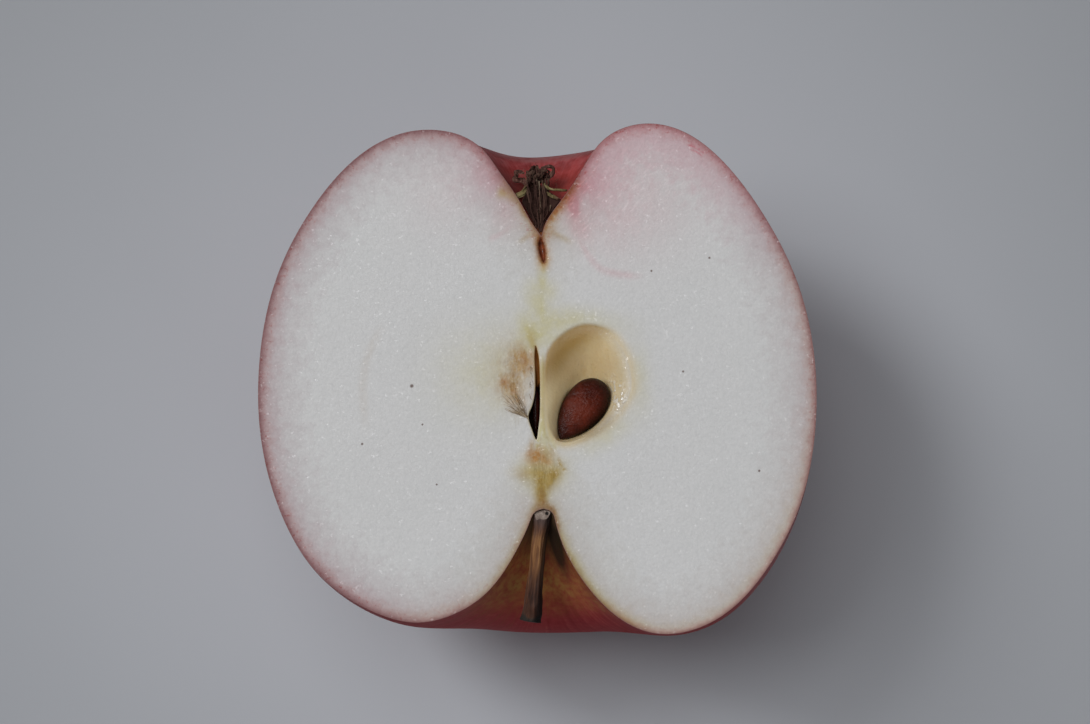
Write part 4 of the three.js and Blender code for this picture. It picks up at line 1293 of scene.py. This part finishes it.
def bark_material():
    """The woody stem: ribs of lilac-grey and brown bark with a painted orange-brown highlight, painted shade down one
    side, and its pale cut end.
    """
    m = Shader("stem_bark")
    stem_map = m.vector("stem_map")
    fibres = m.noise(0.32, 4, 0.65, (1, 1, 10), source=stem_map, warp=0.2, unit_length=1.0)
    patches = m.noise(1.5, 3, 0.6, (1, 1, 3), source=stem_map, unit_length=1.0)
    down_stem = m.node("SeparateXYZ", {0: stem_map}, output="Z")
    brown = m.ramp(fibres, (0.3, (0.035, 0.014, 0.009, 1)), (0.5, (0.12, 0.045, 0.02, 1)),
                   (0.72, (0.30, 0.125, 0.05, 1)))
    painted_highlight = m.ramp(fibres, (0.3, (0.11, 0.042, 0.018, 1)), (0.5, (0.26, 0.115, 0.045, 1)),
                 (0.72, (0.46, 0.235, 0.09, 1)))
    # Painted highlight: a lighter orange-brown band along the middle of the stem.
    brown = m.mix(m.band(down_stem, 3.0, 4.6, 6.4, 10.0), brown, painted_highlight)
    brown = m.tinted(brown, m.step(down_stem, 8.0, 11.0), (0.55, 0.48, 0.50, 1))
    grey_share = m.plus(m.step(patches, 0.42, 0.66, 0.0, 0.4), m.step(down_stem, 3.4, 2.0, 0.0, 0.5))
    grey = m.ramp(fibres, (0.3, (0.07, 0.045, 0.04, 1)), (0.7, (0.17, 0.115, 0.105, 1)))
    colour = m.mix(m.times(m.value("tip"), 0.85), m.mix(grey_share, brown, grey), (0.016, 0.018, 0.015, 1))
    # Painted shade down the side of the stem away from the light.
    colour = m.tinted(colour, m.value("flank"), (0.22, 0.22, 0.24, 1))
    wood = m.ramp(m.noise(0.4, 4, 0.65), (0.35, (0.50, 0.41, 0.35, 1)), (0.65, (0.25, 0.185, 0.155, 1)))
    colour = m.mix(m.value("pith"), m.mix(m.value("cut"), colour, wood), (0.012, 0.01, 0.01, 1))
    m.set(base_color=colour, roughness=0.7, normal=m.bump(fibres, 0.2), specular_ior_level=0.3)
    return m.material


def sepal_material():
    """Dried sepals: brown and tan, ribbed along, pale at their bases."""
    m = Shader("dried_sepal")
    tone = m.value("tone")
    fibres = m.noise(0.3, 3, 0.6, (1, 5, 1))
    brown = m.ramp(fibres, (0.3, (0.032, 0.012, 0.009, 1)), (0.52, (0.12, 0.052, 0.040, 1)),
                   (0.74, (0.30, 0.165, 0.125, 1)))
    green = m.ramp(fibres, (0.35, (0.17, 0.13, 0.05, 1)), (0.65, (0.36, 0.30, 0.15, 1)))
    colour = m.mix(m.step(tone, 0.1, 1.0), brown, green)
    m.set(base_color=colour, roughness=0.85, normal=m.bump(fibres, 0.14), specular_ior_level=0.2)
    return m.material


def stamen_material():
    """Dried stamens: near black at heart with brown and pale threads."""
    m = Shader("dried_stamens")
    fibres = m.noise(0.22, 3, 0.6, (1, 8, 1))
    share = m.plus(m.value("tone"), m.times(fibres, 0.25))
    colour = m.ramp(share, (0.1, (0.042, 0.018, 0.014, 1)), (0.45, (0.080, 0.038, 0.029, 1)),
                    (0.8, (0.14, 0.082, 0.058, 1)), (1.0, (0.34, 0.26, 0.18, 1)))
    m.set(base_color=colour, roughness=0.85, normal=m.bump(fibres, 0.1), specular_ior_level=0.2)
    return m.material


def strand_material():
    """Torn fibres beside the slit: brown with greyed ends."""
    m = Shader("core_fibre")
    colour = m.ramp(m.plus(m.value("tone"), m.times(m.noise(0.4, 2), 0.3)), (0.2, seen(104, 84, 62)),
                    (0.6, seen(146, 122, 94)), (1.0, seen(182, 172, 152)))
    m.set(base_color=colour, roughness=0.6, subsurface_weight=0.2, subsurface_radius=(1.0, 0.6, 0.4),
          subsurface_scale=0.0004, normal=m.bump(m.noise(0.15, 2), 0.02))
    return m.material


def floor_material():
    """A matt, faintly blue-grey painted board, with a painted pool of light round the apple that darkens outward."""
    m = Shader("studio_floor")
    soft = m.noise(60.0, 3, 0.5)
    colour = m.ramp(soft, (0.3, (0.600, 0.626, 0.676, 1)), (0.7, (0.618, 0.643, 0.692, 1)))
    middle = m.node("VectorMath", {0: m.here, 1: (-0.008, 0.0, 0)}, operation="DISTANCE", output="Value")
    # Painted pool of light: lighter near the apple, darker beyond about 13 cm.
    colour = m.tinted(colour, m.step(middle, 0.01, 0.13), (0.67, 0.67, 0.665, 1))
    m.set(base_color=colour, roughness=0.6, specular_ior_level=0.25, normal=m.bump(m.noise(1.5, 3), 0.01))
    return m.material


# ------------------------------------------------------------------ seeds, stem and calyx remains

SEED_LEVELS, SEED_SIDES, SEED_MAP_LENGTH = 60, 72, 10
STEM_LEVELS, STEM_SIDES = 150, 84
STEM_MAP = {"radius": 1.2, "length": 15.5}
PITH_DEPTH = 0.25
HEART_LEVELS, HEART_SIDES = 52, 64  # of the bundle that fills the funnel
SEPAL_GRID = (56, 20)  # points along and across
KNOBS = {"share": 0.35, "form": (1.5, 2.0, 1.2)}  # the anthers that some stamens still have
PALE_EVERY = 5  # stamens
CALYX_DOWN = {  # how many, spread of their roots, reach, curl, thickness and tones
    "hairs": (70, (1.2, 1.3), 0.5, 0.22, 0.02, (0.5, 0.9)),
    "shreds": (34, (0.75, 0.7), 0.45, 0.25, 0.17, (0.1, 0.62)),
}
STRANDS = {  # fibres that fan out of one place, and short ones all along the slit
    "fan": {"count": 32, "meet": (-1.85, -5.2), "headings": (112, 156), "starts": (0.0, 1.4), "lengths": (1.3, 4.2)},
    "side": {"count": 12, "meet": (-1.25, 0.0), "heights": (-3.0, 1.6), "headings": (100, 125),
             "starts": (0.0, 0.3), "lengths": (0.6, 1.5)},
}
CHANCE = {"fusing": 31, "stamens": 41, "down": 53, "strands": 61, "sepals": 70}  # where random draws start


def build_seed(name, seed, material):
    """A pip: pointed at its tip, blunt at its far end, with a low crest along its upper side."""
    tip, end = np.array(seed["tip"], float), np.array(seed["end"], float)
    along = unit(end - tip)
    side = unit(np.cross(seed["flat"], along))
    up = np.cross(along, side)
    t = (1 - np.cos(np.linspace(0, np.pi, SEED_LEVELS + 2)[1:-1])) / 2
    angle = np.linspace(0, 2 * np.pi, SEED_SIDES, endpoint=False)
    girth = seed_girth(t)[:, None] * (1 + 0.012 * np.sin(3 * angle + 1)[None])
    crest = 1 - 0.05 * np.maximum(np.sin(angle), 0)[None] ** 4 * np.sin(np.pi * t)[:, None]
    across = np.cos(angle)[None] * girth * seed["width"] / 2
    lift = np.sin(angle)[None] * girth * crest * seed["thickness"] / 2
    middle = tip + np.outer(t * np.linalg.norm(end - tip), along)
    loops = middle[:, None] + across[..., None] * side + lift[..., None] * up
    points, faces = capped_loft(loops)
    points[-2], points[-1] = tip, end
    # crown: the top middle of the pip, painted chestnut, while its rim and ends are painted dark as shade.
    crown = np.clip(np.sin(angle)[None] * np.sin(np.pi * t ** 0.9)[:, None], 0, 1)
    seed_map = np.stack([across, lift, np.broadcast_to(t[:, None] * SEED_MAP_LENGTH, across.shape)], axis=-1)
    part = Part()
    part.add(points, faces, 0, crown=np.append(crown.ravel(), [0, 0]),
             seed_map=np.vstack([seed_map.reshape(-1, 3), [[0, 0, 0], [0, 0, SEED_MAP_LENGTH]]]))
    return make_piece(name + "_pip", part, [material], "seed", name)


def stem_form(t, angle):
    """Ribs that twist slowly along the stem, faint swellings, and its ragged, closed tip."""
    twist = angle + 0.9 * t + 0.25 * np.sin(5 * t)
    ribs = 1 + 0.05 * np.cos(5 * twist) + 0.03 * np.cos(8 * twist + 3 * np.sin(4 * t)) + 0.02 * np.cos(13 * twist)
    swells = 0.035 * np.sin(2 * np.pi * 3.1 * t + np.cos(angle))
    swells = swells + 0.02 * np.sin(2 * np.pi * 7.3 * t + 2 * angle)
    rag = 0.07 * smoothstep(t, 0.93, 1.0) * np.cos(4 * angle + 1)
    shut = 1 - 0.35 * smoothstep(t, 0.985, 1.0)
    return (ribs + swells + rag) * shut


def slice_stem(points):
    """Cuts the base of the stem along the blade.  Returns where the cut and its pith hole are, 0 to 1."""
    start, end = np.array(STEM_CUT["through"]), np.array(STEM_CUT["rises_to"])
    slope = (end[2] - start[2]) / (end[1] - start[1])
    blade = start[2] + (points[:, 1] - start[1]) * slope
    over = points[:, 2] - blade
    near_base = points[:, 1] > end[1] - 0.6
    cut = np.where(near_base, smoothstep(over, -0.02, 0.06), 0)
    points[:, 2] = np.where(near_base & (over > 0), blade, points[:, 2])
    x, y, radius = STEM_PITH
    pith = smoothstep(np.hypot(points[:, 0] - x, points[:, 1] - y), radius * 1.1, radius * 0.6) * cut
    points[:, 2] -= PITH_DEPTH * pith
    return cut, pith


def build_stem(material):
    """The woody stem, from its sliced base to its flared tip."""
    spine = np.array(STEM)
    path = smooth_path(spine[:, :3], STEM_LEVELS)
    radius = NaturalSpline(np.arange(len(spine)), spine[:, 3])(np.linspace(0, len(spine) - 1, STEM_LEVELS))
    points, faces = tube(path, radius, STEM_SIDES, form=stem_form)
    points[-1] -= unit(path[-1] - path[-2]) * 0.5
    cut, pith = slice_stem(points)
    share = np.append(np.repeat(np.linspace(0, 1, STEM_LEVELS), STEM_SIDES), [0, 1])
    angle = np.append(np.tile(np.linspace(0, 2 * np.pi, STEM_SIDES, endpoint=False), STEM_LEVELS), [0, 0])
    stem_map = np.stack([STEM_MAP["radius"] * np.cos(angle), STEM_MAP["radius"] * np.sin(angle),
                         share * STEM_MAP["length"]], axis=1)
    axis_x = np.append(np.repeat(path[:, 0], STEM_SIDES), path[[0, -1], 0])
    part = Part()
    part.add(points, faces, 0, stem_map=stem_map, cut=cut, pith=pith,
             tip=smoothstep(share + 0.03 * np.sin(3 * angle), 0.86, 0.93),
             # the side of the stem away from the light, painted darker as shade
             flank=smoothstep(points[:, 0] - axis_x, 0.36, 0.95) * (1 - cut))
    return make_piece("stem_bark", part, [material], "bark", "stem")


def build_sepal(name, blade, seed, material):
    """A dried sepal: a thin crumpled blade with a ragged edge that follows its spine."""
    along_count, across_count = SEPAL_GRID
    spine = smooth_path(blade["spine"], along_count)
    draw = np.random.default_rng(seed)
    phase = draw.uniform(0, 6, 6)
    t = np.linspace(0, 1, along_count)
    along = unit(np.gradient(spine, axis=0))
    face = unit(np.cross(unit(blade["across"]), along))
    side = np.cross(along, face)
    half = blade["width"] / 2 * np.sqrt(np.maximum(0.1, 1 - t ** 3)) * lerp(0.75, 1, 4 * t * (1 - t))
    half = half * (1 + 0.10 * np.sin(17 * t + phase[0]) + 0.07 * np.sin(31 * t + phase[1]))
    share = np.linspace(-1, 1, across_count)
    tt, ss = np.meshgrid(t, share, indexing="ij")
    crumple = min(1, blade["width"])
    lift = blade["cup"] * ss ** 2 + 0.16 * crumple * np.sin(9 * tt + 3 * ss + phase[4])
    lift += crumple * (0.10 * np.sin(7 * ss + phase[2] + 5 * tt)
                       + 0.12 * np.sin(19 * tt + 4 * ss + phase[3]) * np.abs(ss))
    thickness = 0.5 * SEPAL_THICKNESS * (0.35 + 0.65 * (1 - ss ** 2))
    sheet = spine[:, None] + side[:, None] * (ss * half[:, None])[..., None]
    front = sheet + face[:, None] * (lift + thickness)[..., None]
    back = sheet + face[:, None] * (lift - thickness)[..., None]
    points, faces = capped_loft(np.concatenate([front, back[:, ::-1]], axis=1))
    pale, start, end = blade["green"]
    tone = pale * (1 - smoothstep(t, start, end))
    part = Part()
    part.add(points, faces, 0, tone=np.append(np.repeat(tone, 2 * across_count), [tone[0], tone[-1]]))
    return make_piece(name + "_dried", part, [material], "sepal", name)


def funnel_level(height):
    """Where down the outline the funnel wall is at that height."""
    s = np.linspace(0, knots[2], 800)
    return np.interp(height, outline(s)[:, 1], s)


def tuft_heart():
    """The fused bundle: it fills the funnel up to its mouth and narrows above it."""
    turn = np.linspace(0, np.pi, HEART_SIDES)
    loops = []
    for height in np.linspace(TUFT["bottom"], TUFT["top"], HEART_LEVELS):
        wall = skin_point(np.full(HEART_SIDES, funnel_level(min(height, TUFT["shoulder"]))), turn)
        reach = np.hypot(wall[:, 0], wall[:, 2])
        wall[:, [0, 2]] *= np.maximum(0.4, 1 - 0.2 / reach)[:, None]
        rising = smoothstep(height, TUFT["shoulder"], TUFT["top"])
        half = reach.max()
        wall[:, 0] = lerp(wall[:, 0], TUFT["top_middle"] + wall[:, 0] * TUFT["top_half"] / half, rising)
        wall[:, 2] *= lerp(1, 0.8, rising)
        wall[:, 1] += height - wall[:, 1].mean()
        front = lerp(max(TUFT["front"], -0.7 * half), -1.25, rising)
        wall[:, 2] = np.minimum(wall[:, 2], front + 0.2 * ripple(wall * (2.6, 0.5, 1), 0.8, CHANCE["fusing"]))
        loops.append(wall)
    return capped_loft(np.array(loops))


def stamen(draw):
    """One bowed thread from the foot of the funnel to the fan at its mouth; some end in a knob."""
    share = draw.uniform()
    front = draw.uniform()
    end = np.array([lerp(*TUFT["fan_x"], share), TUFT["fan_y"] + draw.normal() * 0.8, lerp(*TUFT["fan_z"], front)])
    rise = 3.2 * draw.uniform() ** 1.3
    foot = np.array(TUFT["foot"]) + ((0.9 + 0.75 * rise) * (share - 0.5), rise, -0.25 * front)
    bow = (foot + end) / 2 + (0.7 * (share - 0.5), 0, 0.25 + 0.2 * draw.normal())
    t = np.linspace(0, 1, 16)[:, None]
    path = (1 - t) ** 2 * foot + 2 * t * (1 - t) * bow + t ** 2 * end
    path += 0.12 * np.sin(t * draw.uniform(4, 11) + draw.uniform(0, 6)) * draw.normal(size=3)
    path[:, 2] = np.minimum(path[:, 2], -0.18)
    radius = draw.uniform(*TUFT["radius"]) * (0.75 + 0.35 * np.sin(np.pi * t[:, 0]))
    if draw.uniform() < KNOBS["share"]:
        radius[-3:] *= KNOBS["form"]
    return tube(path, radius, 7)


def build_stamens(material):
    """The dried stamens: a dark heart with brown threads, some of them pale."""
    part = Part()
    part.add(*tuft_heart(), 0, tone=0.12)
    draw = np.random.default_rng(CHANCE["stamens"])
    for number in range(TUFT["stamens"]):
        points, faces = stamen(draw)
        tone = draw.normal(0.68, 0.1) if number % PALE_EVERY == 0 else draw.normal(0.3, 0.2)
        lighter = 0.4 * smoothstep(points[:, 1], 26.4, 28.6)
        part.add(points, faces, 0, tone=np.clip(tone, 0.05, 1.0) + lighter)
    return make_piece("stamen_threads", part, [material], "stamens", "stamen_tuft")


def build_down(material):
    """Fine pale hairs and curled dried shreds round the funnel mouth."""
    part = Part()
    draw = np.random.default_rng(CHANCE["down"])
    for count, spread, reach, curl, thickness, tones in CALYX_DOWN.values():
        for _ in range(count):
            root = np.array([draw.normal(-0.8, spread[0]), 28.7 + draw.uniform(-1, 1) * spread[1],
                             draw.uniform(-2.9, -1.3)])
            lean = draw.normal(size=3) * (reach, reach, 0.4 * reach)
            t = np.linspace(0, 1, 12)[:, None]
            swirl = draw.normal(size=3) * curl
            turn = draw.normal(size=3) * curl * 0.6
            path = root + t * lean + swirl * np.sin(np.pi * t) + turn * np.sin(2 * np.pi * t)
            path[:, 2] = np.minimum(path[:, 2], -0.5)
            points, faces = tube(path, thickness * (1.1 - 0.7 * t[:, 0]), 6)
            part.add(points, faces, 0, tone=draw.uniform(*tones))
    return make_piece("calyx_hairs", part, [material], "stamens")


def build_strands(material):
    """Torn fibres lying on the cut beside the slit."""
    part = Part()
    draw = np.random.default_rng(CHANCE["strands"])
    for kind in STRANDS.values():
        for _ in range(kind["count"]):
            meet = np.array([*kind["meet"], 0.0])
            if "heights" in kind:
                meet[1] = draw.uniform(*kind["heights"])
            heading = math.radians(draw.uniform(*kind["headings"]))
            out = np.array([math.cos(heading), math.sin(heading), 0])
            start = meet + out * draw.uniform(*kind["starts"])
            end = start + out * draw.uniform(*kind["lengths"])
            t = np.linspace(0, 1, 18)[:, None]
            bend = 0.2 * draw.normal() * np.sin(np.pi * t) + 0.05 * np.sin(9 * t + draw.uniform(0, 6))
            path = lerp(start, end, t) + bend * np.array([-out[1], out[0], 0])
            path[:, 2] = -0.09 + 0.04 * np.sin(np.pi * t[:, 0])
            points, faces = tube(path, draw.uniform(0.022, 0.045) * (1.05 - 0.8 * t[:, 0] ** 2), 6)
            part.add(points, faces, 0, tone=draw.uniform(-0.1, 0.7))
    return make_piece("core_strands", part, [material], "flesh")


# ------------------------------------------------------------------ floor, light and camera

LENS, SENSOR = 90.0, 36.0
CAMERA_DISTANCE = 0.370
CAMERA_LEAN = (4.0, -9.0)  # degrees towards +X and towards -Y from straight above
CAMERA_AIM = (0.48, 2.5, 0.0)
LIGHTS = {  # heading round from +X and height above the floor in degrees, distance, width and height, power
    "window": {"heading": 146, "height": 47, "distance": 5.0, "size": (1.6, 2.6), "power": 67},
    "window_left": {"heading": 165, "height": 62, "distance": 5.0, "size": (2.2, 2.2), "power": 39},
    "overhead": {"heading": 100, "height": 79, "distance": 8.0, "size": (4.4, 4.4), "power": 91},
    "front": {"heading": -45, "height": 33, "distance": 3.0, "size": (1.4, 1.4), "power": 4.2},
}
SKY = (0.120, 0.120, 0.123)
FLOOR = {"radius": 6.0, "level_to": 2.5, "rise": 1.1, "sides": 96}


def build_floor(material):
    """A wide board whose far rim sweeps up, so that low views end in the same plain tone."""
    radii = np.concatenate([np.linspace(0.02, 0.3, 15), np.geomspace(0.34, FLOOR["radius"], 24)])
    sides = FLOOR["sides"]
    angle = np.linspace(0, 2 * np.pi, sides, endpoint=False)
    rise = FLOOR["rise"] * smoothstep(radii, FLOOR["level_to"], FLOOR["radius"])
    points = [(0, 0, 0)] + [(r * math.cos(a), r * math.sin(a), z) for r, z in zip(radii, rise) for a in angle]
    faces = [(0, 1 + i, 1 + (i + 1) % sides) for i in range(sides)]
    faces += [face[::-1] for face in ring_faces(len(radii), sides, 1)]
    mesh = bpy.data.meshes.new("floor")
    mesh.from_pydata(points, [], faces)
    mesh.materials.append(material)
    mesh.polygons.foreach_set("use_smooth", [True] * len(faces))
    put_in_scene("floor", mesh)


def build_lights():
    """Soft lamps aimed at the core, and an even sky."""
    for name, light in LIGHTS.items():
        data = bpy.data.lights.new(name, "AREA")
        data.shape, data.energy = "ELLIPSE", light["power"]
        data.size, data.size_y = light["size"]
        heading, height = math.radians(light["heading"]), math.radians(light["height"])
        level = math.cos(height)
        direction = Vector((math.cos(heading) * level, math.sin(heading) * level, math.sin(height)))
        lamp = put_in_scene(name, data)
        lamp.location = Vector(ORIGIN.tolist()) + direction * light["distance"]
        lamp.rotation_euler = direction.to_track_quat("Z", "Y").to_euler()
    world = bpy.data.worlds.new("soft_box")
    world.use_nodes = True
    world.node_tree.nodes["Background"].inputs["Color"].default_value = (*SKY, 1)
    bpy.context.scene.world = world


def build_camera():
    """A camera that looks almost straight down on the cut."""
    lean_x, lean_y = (math.tan(math.radians(lean)) for lean in CAMERA_LEAN)
    back = Vector((lean_x, lean_y, 1)).normalized()
    up = (Vector((0, 1, 0)) - back * back.y).normalized()
    turned = Matrix((up.cross(back), up, back)).transposed().to_4x4()
    camera = put_in_scene("camera", bpy.data.cameras.new("camera"))
    camera.data.lens, camera.data.sensor_width = LENS, SENSOR
    camera.data.clip_start, camera.data.clip_end = 0.01, 20
    camera.matrix_world = Matrix.Translation(Vector(place(CAMERA_AIM).tolist()) + back * CAMERA_DISTANCE) @ turned
    bpy.context.scene.camera = camera


# ------------------------------------------------------------------ assembly

build_body(flesh_material(), skin_material())
seed_coat = seed_material()
build_seed("seed_right", SEED_RIGHT, seed_coat)
build_seed("seed_left", SEED_LEFT, seed_coat)
build_stem(bark_material())
dried = sepal_material()
for number, (name, blade) in enumerate(SEPALS.items()):
    build_sepal(name, blade, CHANCE["sepals"] + number, dried)
stamens = stamen_material()
build_stamens(stamens)
build_down(stamens)
build_strands(strand_material())
build_floor(floor_material())
build_lights()
build_camera()

scene = bpy.context.scene
scene.view_settings.view_transform = "Standard"
scene.view_settings.look = "None"
